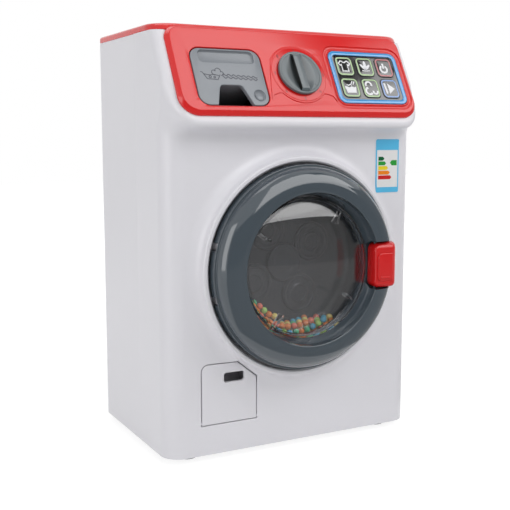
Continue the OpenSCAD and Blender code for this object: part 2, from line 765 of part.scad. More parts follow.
module latch_handle() {
    z0 = latch_z0 - door_z;
    z1 = latch_z1 - door_z;
    color("firebrick") on_door() difference() {
        union() {
            intersection() {
                // Seen from above, from the side and from the front
                translate([0, z0, 0]) rotate([-90, 0, 0]) linear_extrude(z1 - z0) polygon([
                    [latch_x0, -latch_back_h], [latch_x0, -latch_front_h + 1.4], [latch_x0 + 1.1, -latch_front_h],
                    [latch_x1 - 5, -latch_front_h], [latch_x1 - 1.9, -latch_front_h + 1.8],
                    [latch_x1, -latch_front_h + 4.8], [latch_x1, -latch_back_h]]);
                translate([latch_x0, 0, 0]) rotate([90, 0, 90]) linear_extrude(latch_x1 - latch_x0) polygon([
                    [z0, latch_back_h], [z0, latch_front_h - 3.6], [z0 + 1.2, latch_front_h - 1.2],
                    [z0 + 3.6, latch_front_h], [z1 - 4.4, latch_front_h], [z1 - 1.4, latch_front_h - 1.4],
                    [z1, latch_front_h - 4], [z1, latch_back_h]]);
                translate([0, 0, latch_back_h]) linear_extrude(12) latch_outline(latch_x0, z0, latch_x1, z1, 4.5, 1.8);
            }
            // Raised pad with a bare bar moulded low on it
            translate([0, 0, latch_front_h - 1]) linear_extrude(1 + pad_lift)
                latch_outline(latch_x0 + 1.5, z0 + 4.8, latch_x1 - 5.6, z1 - 6.4, 2.6, 0.6);
            translate([latch_x0 + 3.2, z0 + 6.2, latch_front_h]) cube([7.6, 1.4, pad_lift + 0.5]);
            // Tongue that runs back into the keeper
            translate([tongue_x, -4.5, face_h - 4.4]) cube([2.2, 9, latch_back_h - face_h + 5]);
        }
        translate([latch_pin_x, z0 - 1, latch_pin_h]) rotate([-90, 0, 0]) cylinder(r = 0.97, h = z1 - z0 + 2);
        // Room for the return spring
        translate([latch_pin_x - 1.9, -3, latch_back_h - 1]) cube([5.9, 6, latch_pin_h - latch_back_h + 3]);
    }
}

module latch_pin() {
    color("silver") on_door(latch_pin_x, latch_z0 - door_z - 4, latch_pin_h) rotate([-90, 0, 0])
        cylinder(r = 0.9, h = latch_z1 - latch_z0 + 8);
}

module latch_spring() {
    color("silver") on_door(latch_pin_x, -2.4, latch_pin_h) rotate([-90, 0, 0]) rotate_extrude()
        for (i = [0:3]) translate([1.35, 0.6 + i * 1.2]) circle(r = 0.35, $fn = 20);
}

module keeper() {
    color("whitesmoke") on_door() difference() {
        translate([tongue_x - 3.4, -8.5, face_h - wall - 6]) cube([11.4, 17, 6]);
        translate([tongue_x - 1.2, -6.5, face_h - wall - 4.6]) cube([keeper_slot_w, 13, 8]);
    }
}

// ---- Filter hatch ----

module hatch_outline(grow) {
    polygon(concat(arc([hatch_x0 + 4, hatch_z1 - 4], 4 + grow, 180, 90, 6),
        [[-42, hatch_z1 + grow], [hatch_x1 + grow, 49 + grow], [hatch_x1 + grow, hatch_z0 - grow],
        [hatch_x0 - grow, hatch_z0 - grow]]));
}

module hatch_door() {
    color("white") difference() {
        union() {
            on_front(face_h - 2.3) linear_extrude(2.3) hatch_outline(0);
            translate([hatch_x0 - hatch_gap - 2, -hatch_axis_h, hatch_axis_z]) rotate([0, 90, 0])
                cylinder(r = trunnion_r, h = hatch_x1 - hatch_x0 + 2 * hatch_gap + 4);
        }
        on_front(face_h - 4) linear_extrude(6) round_rect(-51, -37, 47.5, 53.5, 1.6);
    }
}

module hatch_pocket() {
    color("gray") translate([hatch_x0 + 0.4, -face_h + wall, hatch_z0 + 2.6]) difference() {
        cube([34, 16, 32]);
        translate([1.6, -1, 1.6]) cube([30.8, 15.4, 28.8]);
    }
}

module sticker() {
    color("deepskyblue") on_front(face_h) linear_extrude(0.25) round_rect(57.8, 75.8, 159.2, 190.8, 1);
}

// ---- Batteries ----

module battery_bay() {
    color("whitesmoke") difference() {
        translate([-bay_half_w + 0.1, bay_front_y, bay_z0 + 0.1])
            cube([2 * bay_half_w - 0.2, back_y - 1.5 - bay_front_y, bay_z1 - bay_z0 - 0.2]);
        difference() {
            translate([-bay_half_w + 1.8, bay_front_y + 1.6, bay_z0 + 1.8])
                cube([2 * bay_half_w - 3.6, 40, bay_z1 - bay_z0 - 3.6]);
            // Post for the cover's screw
            translate([0, bay_front_y, bay_screw_z]) rotate([-90, 0, 0]) cylinder(r = 2.6, h = back_y);
        }
        translate([0, bay_front_y + 6, bay_screw_z]) rotate([-90, 0, 0]) cylinder(r = 1.3, h = back_y);
    }
}

module cell(row) {
    color("darkorange") translate([-cell_len / 2, cell_y, cell_z0 + row * cell_pitch]) rotate([0, 90, 0])
        union() {
            cylinder(r = cell_r, h = cell_len - 1.4);
            cylinder(r = 2.7, h = cell_len);
        }
}

module battery_contacts() {
    color("silver") for (row = [0:2]) {
        translate([cell_len / 2 + 0.3, cell_y - 4, cell_z0 + row * cell_pitch - 4]) cube([0.5, 8, 8]);
        translate([-cell_len / 2 - 6, cell_y - 4, cell_z0 + row * cell_pitch - 4]) cube([0.5, 8, 8]);
        translate([-cell_len / 2 - 5.5, cell_y, cell_z0 + row * cell_pitch]) rotate([0, 90, 0])
            for (i = [0:3]) translate([0, 0, 0.5 + i * 1.25]) rotate_extrude() translate([3.6 - i * 0.4, 0])
                circle(r = 0.45, $fn = 16);
    }
}

module battery_cover() {
    color("white") difference() {
        translate([-bay_half_w - 2.7, back_y - 1.3, bay_z0 - 2.7])
            cube([2 * bay_half_w + 5.4, 1.3, bay_z1 - bay_z0 + 5.4]);
        // Finger grooves
        for (i = [0:4]) translate([-12, back_y - 0.6, bay_z1 - 6 - i * 3]) cube([24, 2, 1.2]);
        translate([0, back_y - 2, bay_screw_z]) rotate([-90, 0, 0]) cylinder(r = 1.4, h = 4);
        translate([0, back_y - 0.85, bay_screw_z]) rotate([-90, 0, 0]) cylinder(r = 2.5, h = 4);
    }
}

// Cross-head screw whose head faces the back
module screw(x, y, z, len, head_t) {
    translate([x, y, z]) rotate([90, 0, 0]) difference() {
        union() {
            cylinder(r = 2.3, h = head_t);
            cylinder(r = 1.25, h = len);
        }
        translate([-1.6, -0.3, -0.1]) cube([3.2, 0.6, 0.6]);
        translate([-0.3, -1.6, -0.1]) cube([0.6, 3.2, 0.6]);
    }
}

module case_screws() {
    color("silver") {
        for (p = post_places) screw(p[0], split_y + 9.6, p[1], 24, 1.6);
        screw(0, back_y - 0.05, bay_screw_z, 12, 0.8);
    }
}

// ---- Sub-parts ----

front_shell();
rear_shell();
base_plate();
foot(-70, -30);  // foot_front_left
foot(70, -30);  // foot_front_right
foot(-70, 56);  // foot_rear_left
foot(70, 56);  // foot_rear_right
top_console();
drawer_sleeve();
drawer_front();
drawer_tray();
knob();
knob_shaft();
dial_switch();
keypad_frame();
keypad_panel();
key_cap(key_columns[0], key_rows[0]);  // key_shirt
key_cap(key_columns[1], key_rows[0]);  // key_leaf
key_cap(key_columns[2], key_rows[0]);  // key_power
key_cap(key_columns[0], key_rows[1]);  // key_basin
key_cap(key_columns[1], key_rows[1]);  // key_swirl
key_cap(key_columns[2], key_rows[1]);  // key_play
key_board();
key_domes();
speaker();
tub_back();
drum_cup();
drum_cover();
drum_shaft();
drum_gear();
idler_gear();
idler_pin();
motor_pinion();
motor();
gear_plate();
color("coral") bead_group(0);  // beads_coral
color("limegreen") bead_group(1);  // beads_lime
color("deepskyblue") bead_group(2);  // beads_blue
color("khaki") bead_group(3);  // beads_yellow
color("orange") bead_group(4);  // beads_orange
color("seagreen") bead_group(5);  // beads_green
door_ring();
door_window();
door_back();
hinge_pin();
latch_handle();
latch_pin();
latch_spring();
keeper();
hatch_door();
hatch_pocket();
sticker();
battery_bay();
cell(2);  // cell_top
cell(1);  // cell_middle
cell(0);  // cell_bottom
battery_contacts();
battery_cover();
case_screws();
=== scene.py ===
import math
import bmesh
import bpy
import numpy as np
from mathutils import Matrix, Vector


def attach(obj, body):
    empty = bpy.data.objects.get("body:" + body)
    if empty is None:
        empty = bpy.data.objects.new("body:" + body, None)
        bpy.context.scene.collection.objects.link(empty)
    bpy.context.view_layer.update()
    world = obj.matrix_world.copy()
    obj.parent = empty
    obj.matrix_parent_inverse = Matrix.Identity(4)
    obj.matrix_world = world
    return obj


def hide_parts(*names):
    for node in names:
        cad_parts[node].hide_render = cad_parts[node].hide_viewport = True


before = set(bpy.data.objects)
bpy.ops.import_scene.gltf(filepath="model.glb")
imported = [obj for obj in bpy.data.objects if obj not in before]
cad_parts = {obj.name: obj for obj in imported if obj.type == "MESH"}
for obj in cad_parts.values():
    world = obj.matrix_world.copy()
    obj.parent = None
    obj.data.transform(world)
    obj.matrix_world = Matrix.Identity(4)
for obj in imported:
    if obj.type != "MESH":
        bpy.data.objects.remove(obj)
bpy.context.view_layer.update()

mm = 0.001
rng = np.random.default_rng(11)
scene = bpy.context.scene

print("stage: camera and lamps")
shot = {"place": (-0.2799, -0.5157, 0.1965), "yaw": 28.0, "pitch": 7.73, "lens": 62.8, "sensor": 36,
        "reach": 20}
cameraData = bpy.data.cameras.new("shotCamera")
cameraData.lens = shot["lens"]
cameraData.sensor_width = shot["sensor"]
cameraData.clip_end = shot["reach"]
camera = bpy.data.objects.new("shotCamera", cameraData)
camera.location = shot["place"]
camera.rotation_euler = (math.radians(90 - shot["pitch"]), 0, math.radians(-shot["yaw"]))
scene.collection.objects.link(camera)
scene.camera = camera
scene.view_settings.view_transform = "Standard"

# Place, aim, size and watts. Three lamps make one upright wall of light to the right of the camera, lower at
# its far end; its edges show in the glossy parts
lamps = {
    "wallPanel": ((0.465, -1.002, 1.369), (0.231, 0.056, 1.369), (1.256, 1.542), 15.7),
    "wallPanelLow": ((1.143, -0.852, 1.124), (0.909, 0.206, 1.124), (0.13, 1.052), 1.15),
    "wallPanelFar": ((1.480, -0.778, 1.211), (1.246, 0.280, 1.211), (0.562, 1.226), 5.7),
    "leftPanel": ((-1.45, -0.5, 0.55), (0, 0, 0.13), (0.8, 1.15), 7.2),
    "overBox": ((-0.15, 0.2, 1.4), (0, 0, 0.1), (1.0, 0.8), 4.0),
    "rearBox": ((0.35, 1.6, 0.9), (0, 0, 0.13), (1.3, 0.9), 7.0),
}
for name, (place, aim, size, watts) in lamps.items():
    data = bpy.data.lights.new(name, "AREA")
    data.shape = "RECTANGLE"
    data.size, data.size_y = size
    data.energy = watts
    holder = bpy.data.objects.new(name, data)
    holder.location = place
    holder.rotation_euler = (Vector(aim) - Vector(place)).to_track_quat("-Z", "Y").to_euler()
    holder.visible_glossy = name != "rearBox"
    scene.collection.objects.link(holder)


def setInputs(tree, node, values):
    # Each named input gets its value, or a link where the value is another node's output
    for key, value in values.items():
        if isinstance(value, bpy.types.NodeSocket):
            tree.links.new(value, node.inputs[key])
        else:
            node.inputs[key].default_value = value
    return node


def addNode(tree, kind, values, operation=None):
    # New node with its inputs set; the operation is for the mathematical ones
    node = tree.nodes.new(kind)
    if operation:
        node.operation = operation
    return setInputs(tree, node, values)


def sightFactor(tree):
    # 1 for rays from the camera, mirrors and clear plastic, 0 for rays that carry soft light
    ray = tree.nodes.new("ShaderNodeLightPath").outputs
    both = addNode(tree, "ShaderNodeMath", {0: ray["Is Camera Ray"], 1: ray["Is Glossy Ray"]}, "MAXIMUM")
    return addNode(tree, "ShaderNodeMath", {0: both.outputs[0], 1: ray["Is Transmission Ray"]},
                   "MAXIMUM").outputs[0]


# Soft light from all sides; a white world for sight rays
surroundings = {"ambient": 0.29, "white": 1.0}
scene.world = bpy.data.worlds.new("studio")
scene.world.use_nodes = True
tree = scene.world.node_tree
tree.nodes.clear()
soft, white = [addNode(tree, "ShaderNodeBackground", {"Color": (1, 1, 1, 1), "Strength": strength}).outputs[0]
               for strength in surroundings.values()]
mixer = addNode(tree, "ShaderNodeMixShader", {0: sightFactor(tree), 1: soft, 2: white})
addNode(tree, "ShaderNodeOutputWorld", {"Surface": mixer.outputs[0]})

print("stage: materials")


def buildMouldedSkin():
    # Moulded plastic: faint cloudy tone, fine grain, rubbed spots that change the shine
    group = bpy.data.node_groups.new("mouldedSkin", "ShaderNodeTree")
    for name, value in (("Colour", (0.8, 0.8, 0.8, 1)), ("Tone Spread", 0.05), ("Shine", 0.35),
                        ("Shine Spread", 0.08), ("Grain Size", 900.0), ("Grain Height", 0.08)):
        kind = "NodeSocketColor" if name == "Colour" else "NodeSocketFloat"
        group.interface.new_socket(name=name, in_out="INPUT", socket_type=kind).default_value = value
    for name, kind in (("Base Colour", "Color"), ("Roughness", "Float"), ("Normal", "Vector")):
        group.interface.new_socket(name=name, in_out="OUTPUT", socket_type="NodeSocket" + kind)
    given = group.nodes.new("NodeGroupInput").outputs
    place = group.nodes.new("ShaderNodeTexCoord").outputs["Object"]

    def noise(size, detail):
        return addNode(group, "ShaderNodeTexNoise",
                       {"Vector": place, "Scale": size, "Detail": detail}).outputs["Fac"]

    def varied(spots, spread, middle):
        # middle + spread x (spots - 0.5)
        centred = addNode(group, "ShaderNodeMath", {0: spots, 1: 0.5}, "SUBTRACT").outputs[0]
        return addNode(group, "ShaderNodeMath", {0: centred, 1: spread, 2: middle}, "MULTIPLY_ADD").outputs[0]

    tone = varied(noise(38.0, 3.0), given["Tone Spread"], 1.0)
    tint = addNode(group, "ShaderNodeVectorMath", {0: given["Colour"], "Scale": tone}, "SCALE")
    shine = varied(noise(130.0, 5.0), given["Shine Spread"], given["Shine"])
    bump = addNode(group, "ShaderNodeBump", {"Strength": given["Grain Height"], "Distance": 0.0002,
                                             "Height": noise(given["Grain Size"], 2.0)})
    addNode(group, "NodeGroupOutput",
            {"Base Colour": tint.outputs[0], "Roughness": shine, "Normal": bump.outputs[0]})
    return group


mouldedSkin = buildMouldedSkin()


def sRgb(r, g, b):
    # Screen colour 0..255 to the shader's linear colour
    c = np.array([r, g, b]) / 255.0
    return (*np.where(c <= 0.04045, c / 12.92, ((c + 0.055) / 1.055) ** 2.4).tolist(), 1.0)


def nodeOf(tree, kind):
    return next(n for n in tree.nodes if n.type == kind)


def newMaterial(name):
    material = bpy.data.materials.new(name)
    material.use_nodes = True
    return material, material.node_tree, nodeOf(material.node_tree, "BSDF_PRINCIPLED")


def plastic(name, colour, shine, tone, height, spread=0.08, grain=900.0, coat=0.0, coatShine=0.05, metal=0.0,
            under=0.0, ior=1.5):
    # Opaque plastic or metal in the moulded skin; under is the share of light that passes under the surface
    material, tree, shader = newMaterial(name)
    skin = tree.nodes.new("ShaderNodeGroup")
    skin.node_tree = mouldedSkin
    setInputs(tree, skin, {"Colour": colour, "Tone Spread": tone, "Shine": shine, "Shine Spread": spread,
                           "Grain Size": grain, "Grain Height": height})
    setInputs(tree, shader, {
        "Base Color": skin.outputs["Base Colour"], "Roughness": skin.outputs["Roughness"],
        "Normal": skin.outputs["Normal"], "Metallic": metal, "Coat Weight": coat, "Coat Roughness": coatShine,
        "IOR": ior, "Subsurface Weight": under, "Subsurface Radius": (1.0, 0.6, 0.5),
                             "Subsurface Scale": 0.002})
    return material


def mixSurface(tree, factor, first, second):
    # The surface is the first shader where the factor is 0 and the second where it is 1
    mix = addNode(tree, "ShaderNodeMixShader", {0: factor, 1: first.outputs[0], 2: second.outputs[0]})
    setInputs(tree, nodeOf(tree, "OUTPUT_MATERIAL"), {"Surface": mix.outputs[0]})


def clearPlastic(name, tint, shine, ior, shadow):
    # Clear plastic whose shadow stays light
    material, tree, shader = newMaterial(name)
    setInputs(tree, shader, {"Base Color": tint, "Roughness": shine, "Transmission Weight": 1.0, "IOR": ior})
    ray = tree.nodes.new("ShaderNodeLightPath").outputs
    mixSurface(tree, ray["Is Shadow Ray"], shader,
               addNode(tree, "ShaderNodeBsdfTransparent", {"Color": shadow}))
    return material


# Each finish: its slot, screen colour, shine, spread of tone and height of grain, then what differs from
# plastic's own values
film = {"spread": 0.03, "coat": 0.9, "coatShine": 0.03}
metal = {"spread": 0.2, "metal": 1.0}
plastics = {
    "whiteShell": ("white_shell", (224, 223, 228), 0.34, 0.02, 0.03, {}),
    "whiteInner": ("white_inner", (214, 213, 218), 0.5, 0.04, 0.1, {}),
    "redConsole": ("red_console", (216, 30, 30), 0.12, 0.04, 0.006,
                   {"spread": 0.05, "coat": 0.1, "coatShine": 0.08, "ior": 1.47}),
    "redHandle": ("red_latch", (208, 20, 22), 0.25, 0.05, 0.02, {"coat": 0.1, "coatShine": 0.1}),
    "greyDrawer": ("grey_drawer", (126, 131, 137), 0.24, 0.04, 0.02, {}),
    "greyKnob": ("grey_knob", (88, 97, 101), 0.2, 0.05, 0.02, {"coat": 0.2, "coatShine": 0.1}),
    "greyRing": ("ring_grey", (64, 74, 82), 0.09, 0.05, 0.006,
                 {"spread": 0.03, "coat": 0.6, "coatShine": 0.04}),
    "ringBack": ("ring_grey", (60, 67, 74), 0.4, 0.05, 0.06, {}),
    # blackInner's near-black colour is painted shade for the hollow seen through the drawer's notch
    "blackInner": ("black_inner", (5, 5, 6), 0.5, 0.08, 0.06, {}),
    "drumGrey": ("drum_grey", (50, 51, 56), 0.34, 0.08, 0.04, {}),
    "tubGrey": (None, (60, 62, 67), 0.45, 0.08, 0.06, {}),
    "blueFilm": ("blue_film", (34, 142, 208), 0.1, 0.04, 0.005, film),
    "blackFilm": ("black_film", (8, 8, 9), 0.08, 0.1, 0.005, film),
    "keyFace": ("key_face", (14, 15, 14), 0.08, 0.1, 0.005, film),
    "rubber": ("rubber_foot", (58, 58, 62), 0.75, 0.12, 0.3, {"grain": 1500.0}),
    "steel": (None, (186, 188, 192), 0.28, 0.04, 0.05, metal),
    "motorCan": (None, (168, 170, 174), 0.36, 0.06, 0.06, metal),
    "brass": (None, (190, 150, 82), 0.3, 0.06, 0.05, metal),
    "gearNylon": (None, (226, 220, 200), 0.45, 0.04, 0.05, {"under": 0.1}),
    "boardGreen": (None, (38, 96, 56), 0.35, 0.15, 0.1, {}),
    "speakerBlack": (None, (34, 34, 36), 0.6, 0.12, 0.2, {}),
    "cellJacket": (None, (196, 120, 44), 0.3, 0.06, 0.04, {}),
    "printWhite": ("key_face", (226, 227, 230), 0.3, 0.02, 0.0, {}),
    "printGreen": ("key_face", (172, 200, 150), 0.3, 0.02, 0.0, {}),
    "printRed": ("key_face", (190, 118, 122), 0.3, 0.02, 0.0, {}),
    "printBlue": ("key_face", (140, 168, 216), 0.3, 0.02, 0.0, {}),
    "printGrey": ("grey_drawer", (66, 66, 76), 0.5, 0.04, 0.0, {}),
    "printDark": ("red_console", (112, 16, 24), 0.4, 0.04, 0.0, {}),
    "labelWhite": ("label_paper", (226, 226, 226), 0.3, 0.02, 0.01, {}),
    "labelBlue": ("label_paper", (86, 185, 228), 0.3, 0.03, 0.01, {}),
}
barInks = ((0, 92, 50), (40, 150, 56), (228, 206, 40), (232, 128, 24), (200, 30, 30))
for k, colour in enumerate(barInks):
    plastics["labelBar%d" % k] = ("label_paper", colour, 0.55, 0.03, 0.0, {"ior": 1.3})
beads = {"coral": (250, 134, 108), "lime": (190, 234, 120), "blue": (98, 192, 226), "yellow": (252, 230, 130),
         "orange": (250, 148, 72), "green": (96, 206, 152)}
for name, colour in beads.items():
    plastics["bead" + name.capitalize()] = ("bead_" + name, colour, 0.25, 0.06, 0.03, {"under": 0.15})
clears = {"clearWindow": ((0.96, 0.96, 0.97, 1), 0.015, 1.58, (0.96, 0.97, 0.98, 1)),
          "clearCover": ((0.95, 0.95, 0.96, 1), 0.02, 1.5, (0.96, 0.97, 0.97, 1))}
slotOf, finish = dict.fromkeys(clears, "clear_plastic"), {}
for name, (slotName, colour, shine, tone, height, more) in plastics.items():
    slotOf[name], finish[name] = slotName, plastic(name, sRgb(*colour), shine, tone, height, **more)
for name, look in clears.items():
    finish[name] = clearPlastic(name, *look)


def hollowShade(name, darkestShare):
    # Painted shade: the base colour falls to the given darkest share where the piece's painted-shade
    # attribute is 1
    tree = finish[name].node_tree
    shader = nodeOf(tree, "BSDF_PRINCIPLED")
    paintedShade = tree.nodes.new("ShaderNodeAttribute")
    paintedShade.attribute_name = "paintedShade"
    shade = addNode(tree, "ShaderNodeMapRange",
                    {"Value": paintedShade.outputs["Fac"], "To Min": 1.0, "To Max": darkestShare})
    scale = addNode(tree, "ShaderNodeVectorMath", {0: shader.inputs["Base Color"].links[0].from_socket,
                                                   "Scale": shade.outputs["Result"]}, "SCALE")
    setInputs(tree, shader, {"Base Color": scale.outputs["Vector"]})


# Painted shade on the knob: its scoops and the flanks of its bar darken to 4 % of the base colour
hollowShade("greyKnob", 0.04)

print("stage: tools for the pieces")


def smooth(mesh, sharp):
    # Smooth faces that meet in a hard edge where they turn by more than the sharp angle
    mesh.polygons.foreach_set("use_smooth", np.ones(len(mesh.polygons), bool))
    mesh.set_sharp_from_angle(angle=math.radians(sharp))


def addPiece(name, points, faces, body, material, sharp=35.0, replaces=None):
    # points in millimetres, faces as lists of corner numbers; a piece without a body is a cutter
    mesh = bpy.data.meshes.new(name)
    mesh.from_pydata((np.asarray(points, float) * mm).tolist(), [], faces)
    mesh.update()
    smooth(mesh, sharp)
    mesh.materials.append(finish[material])
    piece = bpy.data.objects.new(name, mesh)
    scene.collection.objects.link(piece)
    if body:
        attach(piece, body)
    if replaces:
        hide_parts(replaces)
    return piece


def arc(cx, cy, r, start, end, steps=14):
    # Points at equal angles on a circle
    a = np.radians(np.linspace(start, end, steps + 1))
    return np.column_stack([cx + r * np.cos(a), cy + r * np.sin(a)])


def circle(cx, cy, r, steps):
    return arc(cx, cy, r, 0, 360, steps)[:-1]


def roundBox(x0, x1, y0, y1, radii, inset=0.0, steps=8, straight=0):
    # Quarter circles joined by straights, drawn in by the inset; radii from top right, against the clock
    parts = []
    for k, (right, top) in enumerate(((1, 1), (0, 1), (0, 0), (1, 0))):
        r = max(np.broadcast_to(radii, 4)[k] - inset, 0.02)
        middle = (x1 - inset - r if right else x0 + inset + r, y1 - inset - r if top else y0 + inset + r)
        parts.append(arc(*middle, r, 90 * k, 90 * k + 90, steps))
    if straight:
        share = np.linspace(0, 1, straight + 2)[1:-1, None]
        parts = [np.vstack([one, one[-1] + (nxt[0] - one[-1]) * share])
                 for one, nxt in zip(parts, parts[1:] + parts[:1])]
    return np.vstack(parts)


def boxShape(*box, **more):
    # A round box as a function of its inset
    return lambda d=0.0: roundBox(*box, inset=d, **more)


def cornerStep(ahead, behind, least):
    # Bisector of two sides, as long as moves both of them out by one; least bounds it at sharp corners
    n1, n2 = [side[:, ::-1] * (-1, 1) / np.maximum(np.linalg.norm(side, axis=1, keepdims=True), 1e-9)
              for side in (ahead, behind)]
    return (n1 + n2) / np.maximum(1.0 + (n1 * n2).sum(1, keepdims=True), least)


def drawIn(outline, inset):
    # Each corner moves inwards along the bisector of its two sides, which run against the clock
    ahead, behind = np.roll(outline, -1, 0) - outline, outline - np.roll(outline, 1, 0)
    return outline + cornerStep(ahead, behind, 0.4) * inset


def inward(outline):
    # An outline as a function of its inset
    return outline if callable(outline) else lambda d: drawIn(outline, d)


def quarterRound(steps):
    # Rows (1 - cos a, 1 - sin a) for equal angles from nought to a right angle
    a = np.radians(np.linspace(0, 90, steps + 1))
    return np.column_stack([1 - np.cos(a), 1 - np.sin(a)])


# Middle of the door above the ground; foot of the fascia's plane and how far it leans back
doorHeight = 115.7
slope = {"y": -60.2, "z": 207.1, "tilt": math.radians(28.3)}


def onPlan(x, y, z):
    return np.stack(np.broadcast_arrays(x, y, z), -1).astype(float)


def onFront(x, z, h):
    # Across, up from the ground, forward
    return onPlan(x, -h, z)


def onDoor(x, y, h):
    # Across, up from the middle of the door, forward
    return onFront(x, y + doorHeight, h)


def onBack(x, z, d):
    # Seen from behind: across to the right, up, out of the back
    return onPlan(-x, d, z)


def onFascia(x, s, off):
    # Across the fascia, up its slope, out of it
    sine, cosine = math.sin(slope["tilt"]), math.cos(slope["tilt"])
    return onPlan(x, slope["y"] + s * sine - off * cosine, slope["z"] + s * cosine + off * sine)


def ringFaces(rows, cols, closed=True, hoop=False):
    # Four-cornered faces between rows of points; closed joins the last column to the first, hoop the last row
    i = np.arange(rows if hoop else rows - 1)[:, None]
    j = np.arange(cols if closed else cols - 1)[None, :]
    here, above, k = i * cols, (i + 1) % rows * cols, (j + 1) % cols
    return np.stack([here + j, here + k, above + k, above + j], -1).reshape(-1, 4).tolist()


def stackPiece(name, levels, place, body, material, hoop=False, **more):
    # Closed outlines, one above the other: levels is a list of (outline, height). Flat faces close the ends,
    # or as a hoop the last outline is joined to the first
    n = len(levels[0][0])
    faces = ringFaces(len(levels), n, hoop=hoop)
    if not hoop:
        faces += [list(range((len(levels) - 1) * n, len(levels) * n)), list(range(n - 1, -1, -1))]
    points = np.vstack([place(o[:, 0], o[:, 1], h) for o, h in levels])
    return addPiece(name, points, faces, body, material, **more)


def platePiece(name, outline, low, high, place, body, material, edge=0.4, foot=0.0, steps=4, **more):
    # Plate with a rounded upper edge: the outline draws in by edge(1 - cos a), the height gains edge sin a
    draw, turn = inward(outline), quarterRound(steps)
    levels = [(draw(foot * d), low + foot * f) for d, f in turn[:0:-1]] if foot else [(draw(0.0), low)]
    levels += [(draw(edge * d), high - edge * f) for d, f in turn]
    return stackPiece(name, levels, place, body, material, **more)


def mergePiece(piece, sharp=None):
    # Joins points that lie on each other, so that seams and poles are closed
    build = bmesh.new()
    build.from_mesh(piece.data)
    bmesh.ops.remove_doubles(build, verts=build.verts, dist=1e-7)
    bmesh.ops.dissolve_degenerate(build, edges=build.edges, dist=1e-7)
    build.to_mesh(piece.data)
    build.free()
    if sharp:
        piece.data.set_sharp_from_angle(angle=math.radians(sharp))
    return piece


def lathePiece(name, profile, place, body, material, steps, cx=0.0, cy=0.0, **more):
    # A profile of radius and height turned once round its axis. One that starts on the axis also ends there,
    # and its poles are single points; any other is joined up as a hoop
    a = np.linspace(0, 2 * math.pi, steps, endpoint=False)
    points = np.vstack([place(cx + r * np.cos(a), cy + r * np.sin(a), h) for r, h in profile])
    faces = ringFaces(len(profile), steps, hoop=profile[0][0] > 0)
    return mergePiece(addPiece(name, points, faces, body, material, **more))


def carve(piece, others, sharp=35.0):
    # Cuts closed shapes out of a piece and then deletes them
    for other in others:
        cut = piece.modifiers.new("cut", "BOOLEAN")
        cut.object = other
        cut.operation = "DIFFERENCE"
        cut.solver = "EXACT"
    result = bpy.data.meshes.new_from_object(piece.evaluated_get(bpy.context.evaluated_depsgraph_get()))
    old, name = piece.data, piece.data.name
    piece.modifiers.clear()
    result.materials.clear()
    result.materials.append(old.materials[0])
    result.polygons.foreach_set("material_index", np.zeros(len(result.polygons), np.int32))
    smooth(result, sharp)
    piece.data = result
    bpy.data.meshes.remove(old)
    result.name = name
    for other in others:
        bpy.data.objects.remove(other)


def cutter(levels, place, hoop=False):
    return stackPiece("cutter", levels, place, None, "whiteShell", hoop=hoop)


def prism(outline, low, high, place):
    # Cutter with straight walls
    return cutter([(outline, low), (outline, high)], place)


def flaredCutter(outline, deep, surface, lip, place, steps=4):
    # Straight hole whose mouth opens in a quarter circle of radius lip
    draw = inward(outline)
    mouth = [(draw(-lip * d), surface - lip * f) for d, f in quarterRound(steps)]
    return cutter([(draw(0.0), deep)] + mouth + [(draw(-lip), surface + 3)], place)


def gridSolid(name, points, below, body, material, paintedShade=None, sharp=35.0, **more):
    # Closed solid between two grids of the same size, upper and lower, with walls round the rim;
    # an optional grid gives one value of painted shade for each upper point, kept as an attribute for
    # hollowShade
    upper = ringFaces(*points.shape[:2], closed=False)
    base = points.shape[0] * points.shape[1]
    lower = [[base + q for q in reversed(face)] for face in upper]
    index = np.arange(base).reshape(points.shape[:2])
    rim = np.concatenate([index[0, :-1], index[:-1, -1], index[-1, :0:-1], index[:0:-1, 0]])
    nxt = np.roll(rim, -1)
    walls = np.stack([rim + base, nxt + base, nxt, rim], -1).tolist()
    everything = np.vstack([points.reshape(-1, 3), below.reshape(-1, 3)])
    piece = addPiece(name, everything, upper + lower + walls, body, material, sharp=sharp, **more)
    if paintedShade is not None:
        layer = piece.data.attributes.new("paintedShade", "FLOAT", "POINT")
        layer.data.foreach_set("value", np.concatenate([paintedShade.ravel(), np.zeros(base)]).astype(np.float32))
    return mergePiece(piece, sharp=sharp)


def ribbonPiece(name, paths, width, low, high, place, body, material):
    # Flat strokes: each path is widened to both sides along its normals; one that ends at its start is closed
    points, faces, count = [], [], 0
    for path in paths:
        path = np.asarray(path, float)
        loop = np.allclose(path[0], path[-1])
        path = path[:-1] if loop else path
        n = len(path)
        ahead, behind = np.roll(path, -1, 0) - path, path - np.roll(path, 1, 0)
        if not loop:
            ahead[-1], behind[0] = behind[-1], ahead[0]
        side = cornerStep(ahead, behind, 0.5) * width / 2
        for line, h in ((path + side, low), (path - side, low), (path - side, high), (path + side, high)):
            points.append(place(line[:, 0], line[:, 1], h))
        i = np.arange(n if loop else n - 1)
        k = (i + 1) % n
        for a, b in ((0, n), (n, 2 * n), (2 * n, 3 * n), (3 * n, 0)):
            faces += (np.stack([a + i, b + i, b + k, a + k], -1) + count).tolist()
        if not loop:
            ends = count + n * np.arange(4)
            faces += [ends[::-1].tolist(), (ends + n - 1).tolist()]
        count += 4 * n
    return addPiece(name, np.vstack(points), faces, body, material)


print("stage: cabinet shells")
cabinet = {"halfWidth": 88.0, "face": 45.5, "back": 71.0, "frontCorner": 12.0, "rearCorner": 9.0,
           "wall": 2.4, "browHalf": 85.4, "browBottom": 199.5, "browCorner": 15.0, "cove": 8.46,
           "edge": 6.0, "recess": 3.2, "port": 52.3, "beyond": 200.0}


def roundedMost(a, b, r):
    # Larger of two distances, with a round edge of radius r where they meet
    inner = np.minimum(-r, np.maximum(a, b))
    return inner + np.hypot(np.maximum(a + r, 0), np.maximum(b + r, 0))


